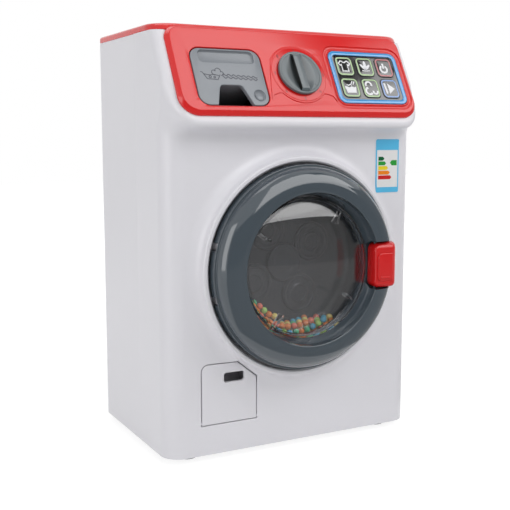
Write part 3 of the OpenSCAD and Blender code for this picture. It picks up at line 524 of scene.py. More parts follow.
def roundedLeast(a, b, r):
    # Smaller of two distances, with a round fillet of radius r where they meet
    outer = np.maximum(r, np.minimum(a, b))
    return outer - np.hypot(np.maximum(r - a, 0), np.maximum(r - b, 0))


def boxDistance(x, y, cy, hx, hy, r):
    # Distance to a rectangle with round corners, whose middle is at (0, cy)
    qx = np.abs(x) - hx + r
    qy = np.abs(y - cy) - hy + r
    return np.hypot(np.maximum(qx, 0), np.maximum(qy, 0)) + np.minimum(np.maximum(qx, qy), 0) - r


def frontDistance(x, y, z, inset):
    # Distance outside the front shell: cabinet and brow joined by a cove, then cut by the fascia's plane
    c = cabinet
    half = c["halfWidth"] - inset
    plan = boxDistance(x, y, c["beyond"] - c["face"] + inset, half, c["beyond"],
                       max(c["frontCorner"] - inset, 1.0))
    brow = boxDistance(x, z, c["browBottom"] + inset + c["beyond"], c["browHalf"] - inset, c["beyond"],
                       c["browCorner"])
    joined = np.maximum(roundedLeast(plan, brow, c["cove"]), np.abs(x) - half)
    out = -(y - slope["y"]) * math.cos(slope["tilt"]) + (z - slope["z"]) * math.sin(slope["tilt"])
    return roundedMost(joined, out + c["recess"] + inset, c["edge"])


# The inner frame's half width, the heights at which its front line bends, and the points on its parts
skinFrame = {"half": 74.0, "heights": [0, 196, 226, 256], "line": [-30, -30, -24, -14], "side": 8,
             "corner": 37, "flat": 59, "reach": 60.0, "halvings": 34}


def frontLevels(levels, inset, splitY):
    # Rings of points: from an inner frame straight outwards to where the distance is nought, found by halving
    f = skinFrame
    hx, side, corner, flat = f["half"] - inset, f["side"], f["corner"], f["flat"]
    turn = np.radians(np.linspace(180, 270, corner))
    dirX = np.concatenate([-np.ones(side), np.cos(turn), np.zeros(flat), -np.cos(turn[::-1]), np.ones(side)])
    dirY = np.concatenate([np.zeros(side), np.sin(turn), -np.ones(flat), np.sin(turn[::-1]), np.zeros(side)])
    startX = np.concatenate([np.full(side + corner, -hx), np.linspace(-1, 1, flat + 2)[1:-1] * hx,
                             np.full(side + corner, hx)])
    share = np.linspace(0, 1, side + 1)[:-1]
    rings = []
    for z in levels:
        line = np.interp(z, f["heights"], f["line"])
        startY = np.concatenate([line * share, np.full(2 * corner + flat, line), line * share[::-1]])
        near, far = np.zeros(len(startX)), np.full(len(startX), f["reach"])
        for _ in range(f["halvings"]):
            half = (near + far) / 2
            inside = frontDistance(startX + half * dirX, startY + half * dirY, z, inset) < 0
            near = np.where(inside, half, near)
            far = np.where(inside, far, half)
        ring = np.column_stack([startX + near * dirX, startY + near * dirY])
        ring[0, 1] = ring[-1, 1] = splitY
        rings.append((ring, z))
    return rings


outerLevels = np.concatenate([[4, 4.4], np.linspace(8, 184, 23), np.linspace(188, 199, 24),
                              np.linspace(199.2, 206, 35), np.linspace(207, 254.4, 40), [255.2, 256]])
innerLevels = np.concatenate([[-2], np.linspace(10, 184, 12), np.linspace(188, 206, 20),
                              np.linspace(209, 253.6, 14)])
frontSkin = stackPiece("frontSkin", frontLevels(outerLevels, 0.0, 0.0), onPlan, "cabinet", "whiteShell",
                       replaces="front_shell")
dialAt = (-1.0, 28.2)
hatchShape = np.vstack([arc(-61.7, 55.5, 4, 180, 90, 8),
                        [[-42, 59.5], [-29, 49], [-29, 22.6], [-65.7, 22.6]]])[::-1]
drawerShape = boxShape(-70, -25, 6.8, 44, 6.5)
padShape = boxShape(24, 75.2, 9.5, 46.2, 5)
carve(frontSkin, [
    cutter(frontLevels(innerLevels, cabinet["wall"], 6.0), onPlan),
    prism(circle(0, 0, cabinet["port"], 144), 38.0, 56.0, onDoor),
    prism(roundBox(56.4, 63.4, -6.5, 6.5, 0.6), 38.0, 50.0, onDoor),
    flaredCutter(lambda d: drawIn(hatchShape, d - 0.6), 38.0, cabinet["face"], 0.45, onFront),
    prism(drawerShape(-1.0), -18.0, 1.0, onFascia), prism(circle(*dialAt, 4.2, 48), -18.0, 1.0, onFascia),
    prism(padShape(2.0), -18.0, 1.0, onFascia)])


def rearOutline(d, y=0):
    # Back half of the plan, closed in front by a straight line at y
    half = roundBox(-88, 88, -40, cabinet["back"], cabinet["rearCorner"], d, steps=12)[:26]
    return np.vstack([half, [[d - 88, y], [88 - d, y]]])


rearSkin = stackPiece("rearSkin", [(rearOutline(0.0), 4.0), (rearOutline(0.0), 255.4),
                                   (rearOutline(0.4), 256.0)],
                      onPlan, "cabinet", "whiteShell", replaces="rear_shell")
channels = [prism(circle(x, z, 2.6, 32), 8.0, 80.0, onBack) for x in (76, -76) for z in (22, 182)]
soundHoles = {"middle": 176, "pitch": 5, "r": 1.2, "within": 11}
holes = [flaredCutter(circle(col * soundHoles["pitch"], soundHoles["middle"] + row * soundHoles["pitch"],
                             soundHoles["r"], 20), 66.0, cabinet["back"], 0.3, onBack, steps=2)
         for row in range(-3, 4) for col in range(-3, 4) if row * row + col * col < soundHoles["within"]]
carve(rearSkin, [
    prism(rearOutline(cabinet["wall"], -6), -2.0, 253.6, onPlan),
    prism(roundBox(-33, 33, 13, 68, 1.5), 60.0, 80.0, onBack),
    flaredCutter(boxShape(-36, 36, 10, 71, 2.5), 69.6, cabinet["back"], 0.4, onBack)] + channels + holes)

# Screw posts inside the case: a blind bore in front, a stepped channel behind
frontPost = [(0, 24.3), (1.3, 24.3), (1.3, 0), (3.6, 0), (3.6, 44.3), (0, 44.3)]
rearPost = [(1.6, 0), (3.6, 0), (3.6, 69.5), (2.6, 69.5), (2.6, 8), (1.6, 8)]
for k, (x, z) in enumerate([(-76, 22), (76, 22), (-76, 182), (76, 182)]):
    lathePiece("casePostFront%d" % k, frontPost, onFront, "cabinet", "whiteInner", cx=x, cy=z, steps=32)
    lathePiece("casePostRear%d" % k, rearPost, onBack, "cabinet", "whiteInner", cx=-x, cy=z, steps=32)

# Raised collar round the door: chamfer, flat top, round shoulder and a quarter-ellipse cove down to the face.
# The hatch's opening cuts into its foot
collar = {"r": 64.5, "top": 53.5, "foot": 76.3, "wide": 8.4, "high": 6.5, "base": 44.4}
sweep = np.radians(np.linspace(0, 90, 17))
collarProfile = np.vstack([
    [(collar["r"], collar["base"]), (collar["r"], collar["top"] - 0.8), (collar["r"] + 0.8, collar["top"])],
    arc(66.5, 52.1, 1.4, 84, 4, 8),
    np.column_stack([collar["foot"] - collar["wide"] * np.cos(sweep),
                     cabinet["face"] + collar["high"] * (1 - np.sin(sweep))]),
                           [(collar["foot"], collar["base"])]])
carve(lathePiece("doorCollar", collarProfile[::-1], onDoor, "cabinet", "whiteShell", steps=192),
      [cutter([(drawIn(hatchShape, -d), h)
               for d, h in ((0.6, 38.0), (0.6, 46.2), (1.0, 46.9), (2.2, 50.0))], onFront)])
tubWall = [(52.3, 18), (53.8, 18), (53.8, 43.4), (53.3, 44.6), (52.95, 45.1), (52.6, 45.35), (52.3, 45.1)]
lathePiece("tubWall", tubWall, onDoor, "cabinet", "whiteShell", steps=144)

# Lugs for the door's hinge: a round eye on a short web
lug = np.vstack([arc(0, 0, 2.0, -41.4, 221.4, 20), [[-1.5, -10.7], [1.5, -10.7]]])[::-1]
for name, low in (("hingeLugTop", 129.7), ("hingeLugBottom", 97.7)):
    stackPiece(name, [(lug, low), (lug, low + 4)], lambda u, v, t: onPlan(-57.5 + u, -55 - v, t), "cabinet",
               "whiteShell")
for name, x0 in (("hatchBossLeft", -69.3), ("hatchBossRight", -28.4)):
    platePiece(name, roundBox(x0, x0 + 3, 21.3, 26.3, 0.5), 41.7, 43.4, onFront, "cabinet", "whiteInner")

# Base with a small round edge, and the four feet
platePiece("baseSkin", boxShape(-85.6, 85.6, -43.05, 68.55, 8.5), 4.0, 6.4, onPlan, "cabinet", "whiteShell",
           edge=0.2, foot=0.5, replaces="base_plate")
footProfile = [(0, 0), (6.6, 0), (7.3, 0.25), (7.8, 0.8), (8, 1.5), (8, 4), (0, 4)]
for end, y in (("Front", -30), ("Rear", 56)):
    for side, x in (("Left", -70), ("Right", 70)):
        lathePiece("foot" + end + side, footProfile, onPlan, "cabinet", "rubber", cx=x, cy=y, steps=48,
                   replaces="foot_%s_%s" % (end.lower(), side.lower()))

print("stage: fascia")
fascia = {"half": 82.2, "foot": 1.2, "head": 59.9, "corners": (9.0, 9.0, 12.0, 12.0),
          "bevel": ((0.0, -3.2), (0.0, -2.2), (0.08, -1.95), (0.3, -1.72), (1.95, -0.2), (2.2, -0.06),
                    (2.5, 0.0), (2.75, 0.0))}
fasciaShape = boxShape(-fascia["half"], fascia["half"], fascia["foot"], fascia["head"], fascia["corners"],
                       steps=12)
# Plate: straight wall, then a bevel with eased edges up to the flat face; a soft groove runs round the keypad
console = stackPiece("consoleFace", [(fasciaShape(d), h) for d, h in fascia["bevel"]], onFascia, "cabinet",
                     "redConsole", sharp=24, replaces="top_console")
groove = {"middle": 2.5, "half": 1.5, "deep": 0.95}
turn = np.radians(np.linspace(180, 360, 9))
grooveRows = [(padShape(-groove["middle"] - groove["half"] * math.cos(a)), groove["deep"] * math.sin(a))
              for a in turn]
grooveRows += [(padShape(-groove["middle"] - groove["half"] * side), 1.0) for side in (1, -1)]
carve(console, [flaredCutter(lambda d: drawerShape(d - 0.5), -4.0, 0.0, 0.45, onFascia),
                flaredCutter(lambda d: padShape(d - 0.3), -1.4, 0.0, 0.3, onFascia),
                prism(padShape(2.0), -4.0, 0.6, onFascia),
                prism(circle(*dialAt, 3.7, 48), -4.0, 1.0, onFascia),
                cutter(grooveRows, onFascia, hoop=True)], sharp=24)

# Low plateau round the dial, drawn out to a point at each lower corner
plateau = {"r": 19.9, "tip": (-22.6, -17.7), "high": 0.5, "edge": 0.45}
leftHalf = np.vstack([arc(0, 0, plateau["r"], 90, 150, 14),
                      [(-19.6, 0.0), plateau["tip"], (-20.2, -14.4), (-16.6, -13.1)],
                      arc(0, 0, plateau["r"] - 0.4, 222, 270, 10)])
plateauShape = np.vstack([leftHalf, (leftHalf * (-1, 1))[::-1][1:-1]]) + dialAt
carve(platePiece("dialPlateau", plateauShape, -0.5, plateau["high"], onFascia, "cabinet", "redConsole",
                 edge=plateau["edge"]),
      [prism(circle(*dialAt, 3.7, 48), -4.0, 1.0, onFascia), prism(padShape(1.2), -4.0, 1.0, onFascia)],
      sharp=24)

# Lid: a rounded slab whose front follows the fascia's slope, with a quarter-round upper edge
lid = {"low": 256.0, "high": 260.0, "round": 1.9, "corners": (9.0, 9.0, 15.0, 15.0), "frontMost": -34.4,
       "past": 0.9, "under": 0.35}


def lidShape(z, d):
    front = slope["y"] + (z - slope["z"]) * math.tan(slope["tilt"]) + lid["past"]
    return roundBox(-88, 88, max(lid["frontMost"], front), cabinet["back"], lid["corners"], d, steps=14)


lidLevels = [(lidShape(lid["low"], lid["under"]), lid["low"]),
             (lidShape(lid["low"], 0.0), lid["low"] + lid["under"])]
for d, f in quarterRound(8) * lid["round"]:
    lidLevels.append((lidShape(lid["high"] - f, d), lid["high"] - f))
stackPiece("consoleLid", lidLevels, onPlan, "cabinet", "redConsole")

# Disc under the knob, with a round edge, and plain numbers drawn with the strokes of a seven-part figure
discProfile = np.vstack([[(3.7, -1.0), (18.7, -1.0)], arc(17.9, 0.0, 0.8, 0, 90, 6), [(3.7, 0.8)]])
lathePiece("dialDisc", discProfile, onFascia, "cabinet", "redConsole", cx=dialAt[0], cy=dialAt[1], steps=144)
strokes = {"a": ((0, 2), (1, 2)), "b": ((1, 2), (1, 1)), "c": ((1, 1), (1, 0)), "d": ((1, 0), (0, 0)),
           "e": ((0, 0), (0, 1)), "f": ((0, 1), (0, 2)), "g": ((0, 1), (1, 1))}
figures = ("bc", "abged", "abgcd", "fgbc", "afgcd", "afgedc", "abc", "abgfedc")
dialMarks = {"radius": 16.7, "width": 0.85, "tall": 0.85, "line": 0.28}
paths = []
for number, parts in enumerate(figures):
    a = math.radians(90 - 45 * number)
    middle = np.array(dialAt) + dialMarks["radius"] * np.array([math.cos(a), math.sin(a)])
    for part in parts:
        ends = (np.array(strokes[part], float) - (0.5, 1.0)) * (dialMarks["width"], dialMarks["tall"])
        paths.append(ends + middle)
ribbonPiece("dialMarks", paths, dialMarks["line"], 0.75, 0.84, onFascia, "cabinet", "printDark")

print("stage: drawer")
drawer = {"low": -2.6, "face": -0.2, "edge": 0.5, "basin": (-65, -29, 34.4, 43.0), "basinDeep": 1.6,
          "basinSide": 1.2,
          "dimpleAt": (-30.9, 13.4), "dimpleR": 3.9, "dimpleDeep": 1.5, "buttonAt": (-30.9, 12.6)}
# Rounded plate with a basin along its top, a notch at the foot and a finger dimple with a button in it
notchShape = np.vstack([[(-59.3, 4.8), (-55.8, 17.0)], arc(-52.8, 17.3, 2.6, 160, 90, 8),
                        arc(-43, 17, 2.9, 90, 25, 8), [(-34.9, 4.8)]])[::-1]
basinShape, dimple = boxShape(*drawer["basin"], 3.0), circle(*drawer["dimpleAt"], drawer["dimpleR"], 40)
bowl = quarterRound(6)
basinLevels = [(basinShape(drawer["basinSide"] * f), drawer["face"] - drawer["basinDeep"] * (1 - d))
               for d, f in bowl]
dimpleLevels = [(drawIn(dimple, drawer["dimpleR"] * f * 0.96),
                 drawer["face"] - drawer["dimpleDeep"] * (1 - d)) for d, f in bowl]
drawerFace = platePiece("drawerFace", drawerShape, drawer["low"], drawer["face"], onFascia, "drawer",
                        "greyDrawer", edge=drawer["edge"], steps=5, replaces="drawer_front")
carve(drawerFace, [flaredCutter(notchShape, -4.0, drawer["face"], 0.55, onFascia),
                   cutter(basinLevels + [(roundBox(-65.2, -28.8, 34.2, 43.2, 3.2), 2.0)], onFascia),
                   cutter(dimpleLevels + [(circle(*drawer["dimpleAt"], 4.0, 40), 2.0)], onFascia)])
button = [(0, -1.9), (2.7, -1.9), (2.65, -1.0), (2.2, -0.6), (1.4, -0.4), (0.6, -0.32), (0, -0.3)]
lathePiece("drawerButton", button, onFascia, "drawer", "greyDrawer", cx=drawer["buttonAt"][0],
           cy=drawer["buttonAt"][1], steps=36)
# Printed on it: a tub of foam, and plain waves where there would be a word
tub = [(-65.8, 28.2), (-64.6, 27.9), (-62.2, 23.6), (-55.6, 23.3), (-53.6, 26.6)]
rimLine = [(-64.2, 26.8), (-60.6, 26.2), (-57.4, 26.5), (-54.4, 25.9)]
foam = [arc(-57.2, 28.0, 1.5, 40, 290), arc(-54.6, 29.0, 1.8, -30, 190), arc(-52.6, 27.3, 1.3, -110, 100),
        arc(-60.2, 25.0, 0.7, 0, 360), arc(-57.4, 24.8, 0.6, 0, 360)]
share = np.linspace(0, 1, 120)
waves = [np.column_stack([-52.2 + 22.4 * share,
                          low - 1.1 * share + 0.55 * np.sin(14 * math.pi * share + lag)])
         for low, lag in ((26.6, 0.0), (24.9, 1.2))]
for name, lines, width in (("drawerTub", [tub, rimLine] + foam, 0.42), ("drawerWaves", waves, 0.5)):
    ribbonPiece(name, lines, width, -0.22, -0.12, onFascia, "drawer", "printGrey")

# Tray and sleeve: open boxes with round corners
tray = platePiece("drawerTray", boxShape(-67, -28, 20.3, 41, 2.5), -26.0, -2.6, onFascia, "drawer",
                  "greyDrawer", edge=0.2, replaces="drawer_tray")
carve(tray, [prism(roundBox(-65.5, -29.5, 21.8, 44, 1.8), -24.5, -3.9, onFascia)])
# The sleeve is a real part; its near-black colour is painted shade for the dark hollow seen through the
# drawer's notch
sleeve = platePiece("drawerSleeve", boxShape(-70.4, -24.6, 6.6, 44.2, 5.5), -30.0, -3.4, onFascia, "cabinet",
                    "blackInner", edge=0.2, replaces="drawer_sleeve")
carve(sleeve, [prism(roundBox(-68.8, -26.2, 8.2, 42.6, 2.0), -28.4, 2.0, onFascia)])

print("stage: knob")
knob = {"base": 1.2, "bar": 3.0, "barHalf": 2.3, "crown": 0.12, "round": 0.35, "turn": 92.0, "level": 1.75,
        "scoop": 1.5, "lens": 6.9, "lensTall": 13.4, "inside": 12.78}
knobRim = np.vstack([[(0, 0.0), (14.2, 0.0), (14.5, 0.3), (14.5, 1.35)], arc(13.85, 1.35, 0.65, 0, 90, 5),
                     [(13.3, 2.0), (12.9, 1.9), (12.75, 1.45), (12.7, 0.4), (0, 0.4)]])


def onKnob(u, v, h):
    # u across the bar, v along it
    a = math.radians(knob["turn"] - 90)
    x, s = u * math.cos(a) - v * math.sin(a), u * math.sin(a) + v * math.cos(a)
    return onFascia(dialAt[0] + x, dialAt[1] + s, knob["base"] + h)


lathePiece("knobRim", knobRim, onKnob, "knob", "greyKnob", steps=144)
# Face of the knob: flat crescents at a level, two lens-shaped scoops and the bar between them.
# Columns follow the bar's edges and the lens outlines, so the height changes only along grid lines
bar, barHalf, shoulder = knob["bar"], knob["barHalf"], knob["barHalf"] + knob["round"]
v = knob["inside"] * np.sin(np.radians(np.linspace(-90, 90, 61)))
edge = np.sqrt(np.maximum(knob["inside"] ** 2 - v * v, 0))
reach = np.maximum(1 - (v / knob["lensTall"]) ** 2, 0)
lens = shoulder + knob["lens"] * reach
t = np.concatenate([np.linspace(0, 1, 9), 1 + np.linspace(0, 1, 5)[1:], 2 + np.linspace(0, 1, 28)[1:],
                    3 + np.linspace(0, 1, 7)[1:]])
half = np.zeros((len(v), len(t)))
high = np.full_like(half, knob["level"])
for k, q in enumerate(t):
    if q <= 1:       # crowned top of the bar
        half[:, k], high[:, k] = q * barHalf, bar - knob["crown"] * q * q
    elif q <= 2:     # its round edge
        half[:, k] = barHalf + knob["round"] * (q - 1)
        high[:, k] = bar - knob["crown"] - knob["round"] * (q - 1) ** 2
    elif q <= 3:     # steep flank, then the scoop out to the lens outline
        wall, w = min((q - 2) * 9.0, 1.0), q - 2
        half[:, k] = shoulder + w * (lens - shoulder)
        floorHigh = knob["level"] - knob["scoop"] * reach ** 0.5 * (1 - w) ** 1.25
        high[:, k] = (bar - knob["crown"] - knob["round"]) * (1 - wall) + floorHigh * wall
    else:            # flat crescent
        half[:, k] = np.maximum(lens + (q - 3) * (edge - lens), 0)
half = np.minimum(half, edge[:, None])
ends = np.clip((np.abs(v) - 10.6) / 2.2, 0, 1)[:, None]
high = high + (1.9 - high) * ends ** 2 * (high > 1.9)
u = np.concatenate([-half[:, :0:-1], half], 1)
high = np.concatenate([high[:, :0:-1], high], 1)
vv = np.repeat(v[:, None], u.shape[1], 1)
# Painted shade: darker with depth below the crescents, darkest on the two flanks of the bar, and weaker on
# the right-hand side, most of all low down, standing for more light falling there
besideBar = ((np.abs(u) > barHalf + 0.1) & (np.abs(u) < barHalf + 1.0) & (high < bar - 0.3)
             & (np.abs(vv) < 11.5))
paintedShade = np.where(besideBar, 1.0, np.clip((knob["level"] - high) / knob["scoop"], 0, 1) ** 0.6)
paintedShade = paintedShade * np.where(u > 0, 0.55 + 0.35 * np.clip(vv / 8.0, -1, 1), 1.0)
gridSolid("knobFace", onKnob(u, vv, high), onKnob(u, vv, np.full_like(u, 0.05)), "knob", "greyKnob",
          paintedShade=paintedShade, sharp=40.0, replaces="knob")
lathePiece("knobDot", [(0, 1.5), (0.55, 1.5), (0.55, 1.75), (0.35, 1.95), (0, 2.0)], onKnob, "knob",
           "greyKnob", cx=8.2, cy=-8.6, steps=20)

print("stage: keypad")
filmShape = boxShape(24, 75.2, 9.5, 46.2, 5.6)
border = [(padShape(d), h) for d, h in ((0.0, -1.1), (0.0, 0.0), (0.1, 0.2), (0.35, 0.3))]
border += [(filmShape(d), h) for d, h in ((2.2, 0.3), (2.5, 0.18), (2.6, -0.05), (2.6, -1.1))]
stackPiece("keypadBorder", border, onFascia, "cabinet", "blueFilm", hoop=True, replaces="keypad_frame")
panel = platePiece("keypadPanel", lambda d: filmShape(d + 2.65), -1.1, -0.1, onFascia, "cabinet", "blackFilm",
                   edge=0.1, replaces="keypad_panel")
keyPlaces = {"shirt": (34.2, 35.4), "leaf": (49.4, 35.4), "power": (64.1, 35.4), "basin": (34.2, 20.2),
             "swirl": (49.4, 20.2), "play": (64.1, 20.2)}
keySize = {"w": 12.4, "h": 13.4, "corner": 3.0, "top": 0.4}


def keyShape(x, s, d):
    return roundBox(x - keySize["w"] / 2, x + keySize["w"] / 2, s - keySize["h"] / 2, s + keySize["h"] / 2,
                    keySize["corner"], d, steps=6)


carve(panel, [prism(keyShape(x, s, -0.35), -3.0, 1.0, onFascia) for x, s in keyPlaces.values()])

# White signs on the keys: strokes, and thin plates where the sign is filled
shirt = [(-1.3, 3.3), (-2.4, 3.7), (-4.1, 1.9), (-3.0, 0.5), (-2.2, 1.1), (-2.2, -3.5), (2.2, -3.5),
         (2.2, 1.1), (3.0, 0.5), (4.1, 1.9), (2.4, 3.7), (1.3, 3.3), (0.7, 2.6), (-0.7, 2.6), (-1.3, 3.3)]


def leafShape(x, y, length, wide, turn):
    # Two arcs that meet in points: half width wide times the sine, along the length
    side = np.radians(np.linspace(0, 180, 13))
    along, across = length * (1 - np.cos(side)) / 2, wide / 2 * np.sin(side)
    loop = np.vstack([np.column_stack([along, -across]), np.column_stack([along, across])[::-1][1:-1]])
    a = math.radians(turn)
    return loop @ np.array([[math.cos(a), math.sin(a)], [-math.sin(a), math.cos(a)]]) + (x, y)


signStrokes = {
    "shirt": (0.75, [shirt]),
    "leaf": (0.7, [[(-2.8, -2.6), (-1.2, -2.9), (1.2, -2.9), (2.8, -2.6)]]),
    "power": (1.35, [arc(-0.6, -1.1, 2.5, 122, 418, 30), [(-0.6, 3.0), (-0.6, -0.6)]]),
    "basin": (0.7, [[(0.4, 1.9), (2.2, 4.5)], [(2.0, 2.0), (3.6, 4.3)],
                    [(-2.6, 2.0), (-1.2, 1.5), (0.0, 2.1), (1.2, 1.5)]]),
    "swirl": (1.25, [arc(-1.3, 2.2, 2.1, -20, 200, 16), arc(-2.0, -2.2, 2.3, 95, 330, 16),
                     arc(2.6, -2.4, 1.6, 160, 380, 14)]),
    "play": (1.35, [[(-3.7, 3.8), (-3.1, -3.7)]]),
}
signPlates = {
    "leaf": [leafShape(0, -1.9, 6.2, 2.1, 88), leafShape(-0.2, -1.9, 5.0, 1.7, 130),
             leafShape(0.2, -1.9, 5.0, 1.7, 46)],
    "basin": [[(-4.3, 0.9), (-3.3, -3.7), (3.2, -3.7), (4.1, 0.7), (2.6, 0.2), (0.8, 0.8), (-1.2, 0.1),
               (-2.8, 0.8)]],
    "play": [[(-1.5, 3.7), (-1.1, -3.7), (3.4, 0.0)]],
}
lineInk = {"power": "printRed", "play": "printBlue"}
for name, at in keyPlaces.items():
    body, title = "key_" + name, name.capitalize()
    levels = [(keyShape(*at, 0.0), -5.0), (keyShape(*at, 0.0), 0.1)]
    levels += [(keyShape(*at, 0.4 * d), 0.35 - 0.25 * f) for d, f in quarterRound(4)[1:]]
    levels += [(keyShape(*at, 2.0), 0.38), (keyShape(*at, 4.0), keySize["top"])]
    stackPiece("keyCap" + title, levels, onFascia, body, "keyFace", sharp=50, replaces=body)
    # Printed line round the key: a flat ribbon between two drawn-in outlines
    line = [(keyShape(*at, d), h) for d, h in ((0.4, 0.28), (0.4, 0.42), (1.35, 0.44), (1.35, 0.3))]
    stackPiece("keyLine" + title, line, onFascia, body, lineInk.get(name, "printGreen"), hoop=True)
for name, (width, paths) in signStrokes.items():
    at, body, title = keyPlaces[name], "key_" + name, name.capitalize()
    ribbonPiece("keySign" + title, [np.array(path) + at for path in paths], width, 0.34, 0.47, onFascia, body,
                "printWhite")
    for number, shape in enumerate(signPlates.get(name, [])):
        stackPiece("keyPlate%s%d" % (title, number), [(np.array(shape) + at, h) for h in (0.34, 0.46)],
                   onFascia, body, "printWhite")

print("stage: door")
door = {"lip": 47.3, "edgeHigh": 57.5, "crownWide": 14.3, "crownHigh": 9.9, "slotAt": 16, "slotHalf": 2.35}
swell = np.radians(np.linspace(88, 4, 30))
ringProfile = np.vstack([
    [(43.9, 51.7), (44.1, 52.9), (45.35, 60.3), (45.6, 60.9), (45.85, 61.2), (46.2, 63.6), (46.4, 66.2)],
    arc(47.05, 66.65, 0.7, 170, 70, 8), [(47.55, 67.22)],
    np.column_stack([door["lip"] + door["crownWide"] * np.cos(swell),
                     door["edgeHigh"] + door["crownHigh"] * np.sin(swell)])[1:],
    [(61.65, 57.75), (61.85, 57.45)], arc(62.55, 57.0, 0.45, 90, 0, 4),
    [(63.0, 50.2), (62.8, 50.0), (48.2, 50.0), (48.2, 51.7)]])
ring = lathePiece("doorRing", ringProfile[::-1], onDoor, "door", "greyRing", steps=224, replaces="door_ring")


def hingeSlot(x0, x1, side, top):
    # Room for a hinge lug, above (1) or below (-1) the middle of the door
    middle, half = side * door["slotAt"], door["slotHalf"]
    return prism(roundBox(x0, x1, middle - half, middle + half, 0.3, steps=2), 44.0, top, onDoor)


carve(ring, [prism(roundBox(43.1, 67.1, -15.6, 14.6, 1.2, steps=4), 56.4, 76, onDoor),
             prism(roundBox(56.2, 61.9, -6, 6, 0.3, steps=2), 46.0, 61.0, onDoor)] +
      [hingeSlot(x0, x1, side, top)
       for side in (-1, 1) for x0, x1, top in ((-66, -59.8, 56.9), (-60.2, -54, 57.35))], sharp=32)
backProfile = [(44.6, 48.5), (44.9, 48.2), (60.8, 48.2), (61.2, 48.5), (61.2, 49.95), (44.6, 49.95)]
back = lathePiece("doorBack", backProfile, onDoor, "door", "ringBack", steps=160, replaces="door_back")
carve(back, [hingeSlot(-66, -52, side, 56) for side in (-1, 1)] +
      [prism(roundBox(56.2, 64.2, -6, 6, 0.3, steps=2), 44.0, 56.0, onDoor)], sharp=32)

# Clear window: two shallow domes with a flange, centred on one axis
window = {"radius": 112.73, "centre": -46.13, "thick": 1.6}
inner, outer = [arc(0, window["centre"], r, start, end, 25)
                for r, start, end in ((window["radius"] - window["thick"], 90, 68.19),
                                      (window["radius"], 67.74, 90))]
windowProfile = np.vstack([inner, [(41.6, 56.7), (41.7, 56.3), (41.7, 50.1), (47.9, 50.1), (47.9, 51.62),
                                   (43.5, 51.62), (43.3, 51.85), (43.3, 57.3), (43.24, 57.7), (43.05, 58.02)],
                           outer])
windowProfile[0, 0] = windowProfile[-1, 0] = 0.0
lathePiece("doorWindow", windowProfile, onDoor, "door", "clearWindow", steps=160, replaces="door_window",
           sharp=40)
# Four short ribs behind the window, each a plate standing on its edge
ribShape = np.array([(32.5, 54.2), (41.8, 54.2), (41.8, 56.7), (38, 58.4), (32.5, 60.25)])
for k, turn in enumerate((55, 146, 236, 326)):
    c, s = math.cos(math.radians(turn)), math.sin(math.radians(turn))
    stackPiece("windowRib%d" % k,
               [(drawIn(ribShape, d), h) for d, h in ((0.15, -0.8), (0, -0.65), (0, 0.65), (0.15, 0.8))],
               lambda r, h, w: onDoor(r * c + w * s, r * s - w * c, h), "door", "clearWindow")

print("stage: drum and beads")
drum = {"outer": 51.2, "inner": 49.5, "back": 24.0, "floor": 25.7, "front": 42.8, "corner": 4.0,
        "lobes": (30, 120, 210, 300), "lobeAt": 24.2}
turned = drum["corner"]
cupProfile = np.vstack([[(0, drum["back"])],
                        arc(drum["outer"] - turned, drum["back"] + turned, turned, -90, 0, 8),
                        [(drum["outer"], 42.6), (51.0, drum["front"]), (49.7, drum["front"]),
                         (drum["inner"], 42.6)],
                        arc(drum["inner"] - turned, drum["floor"] + turned, turned, 0, -90, 10),
                        [(13.6, drum["floor"])], arc(13.0, 26.7, 1.0, -90, -170, 5),
                        arc(11.0, 27.4, 1.0, 0, 90, 5), [(7.2, 28.4), (6.6, 28.0), (5.8, 27.9), (0, 27.9)]])
lathePiece("drumCup", cupProfile, onDoor, "drum", "drumGrey", steps=144, replaces="drum_cup")
lobe = np.vstack([[(0, 25.0), (12.6, 25.0)], arc(11.5, 26.1, 1.1, -10, 90, 7), [(10.4, 27.2), (9.9, 26.7)],
                  [(9.2, 26.6), (6.6, 26.6), (6.1, 26.9), (5.6, 27.3), (5.0, 27.3), (4.6, 26.9), (0, 26.9)]])
for k, turn in enumerate(drum["lobes"]):
    a = math.radians(turn)
    lathePiece("drumLobe%d" % k, lobe, onDoor, "drum", "drumGrey", cx=drum["lobeAt"] * math.cos(a),
               cy=drum["lobeAt"] * math.sin(a), steps=72)
coverProfile = [(0, 42.8), (50.8, 42.8), (51.2, 43.1), (51.2, 43.9), (50.9, 44.2), (0, 44.2)]
lathePiece("drumCover", coverProfile, onDoor, "drum", "clearCover", steps=144, replaces="drum_cover")

# Rows of the pile, counted inwards from the drum's wall: number, first and last angle
beadPile = {"d": 4.2, "gap": 0.3, "rows": ((0, -143, -51), (1, -143, -57), (2, -141, -68), (3, -139, -112)),
            "layers": 3, "loose": 0.25, "rings": 7, "sectors": 12}
size = beadPile["d"]
spots = []
for layer in range(beadPile["layers"]):
    for number, first, last in beadPile["rows"]:
        far = drum["inner"] - size / 2 - 0.15 - number * (size + 0.06)
        step = math.degrees((size + 0.12) / far)
        shift = (number + layer) % 2 * step / 2
        i = np.arange(int((last - first - shift) // step) + 1)
        angle = np.radians(first + shift + i * step)
        height = drum["front"] - beadPile["gap"] - size / 2 - layer * (size + 0.15)
        tone = (i * i + 3 * i + 2 * number + 5 * layer + number * i) % 6
        flat = np.full(len(i), height)
        spots.append(np.column_stack([far * np.cos(angle), far * np.sin(angle), flat, tone]))
spots = np.vstack(spots)
shake = rng.uniform(-1, 1, (len(spots), 3)) * beadPile["loose"]
moved = spots[:, :2] + shake[:, :2]
pull = np.minimum(1, (drum["inner"] - size / 2 - 0.05) / np.hypot(moved[:, 0], moved[:, 1]))[:, None]
centres = np.column_stack([moved * pull, spots[:, 2] - np.abs(shake[:, 2])])
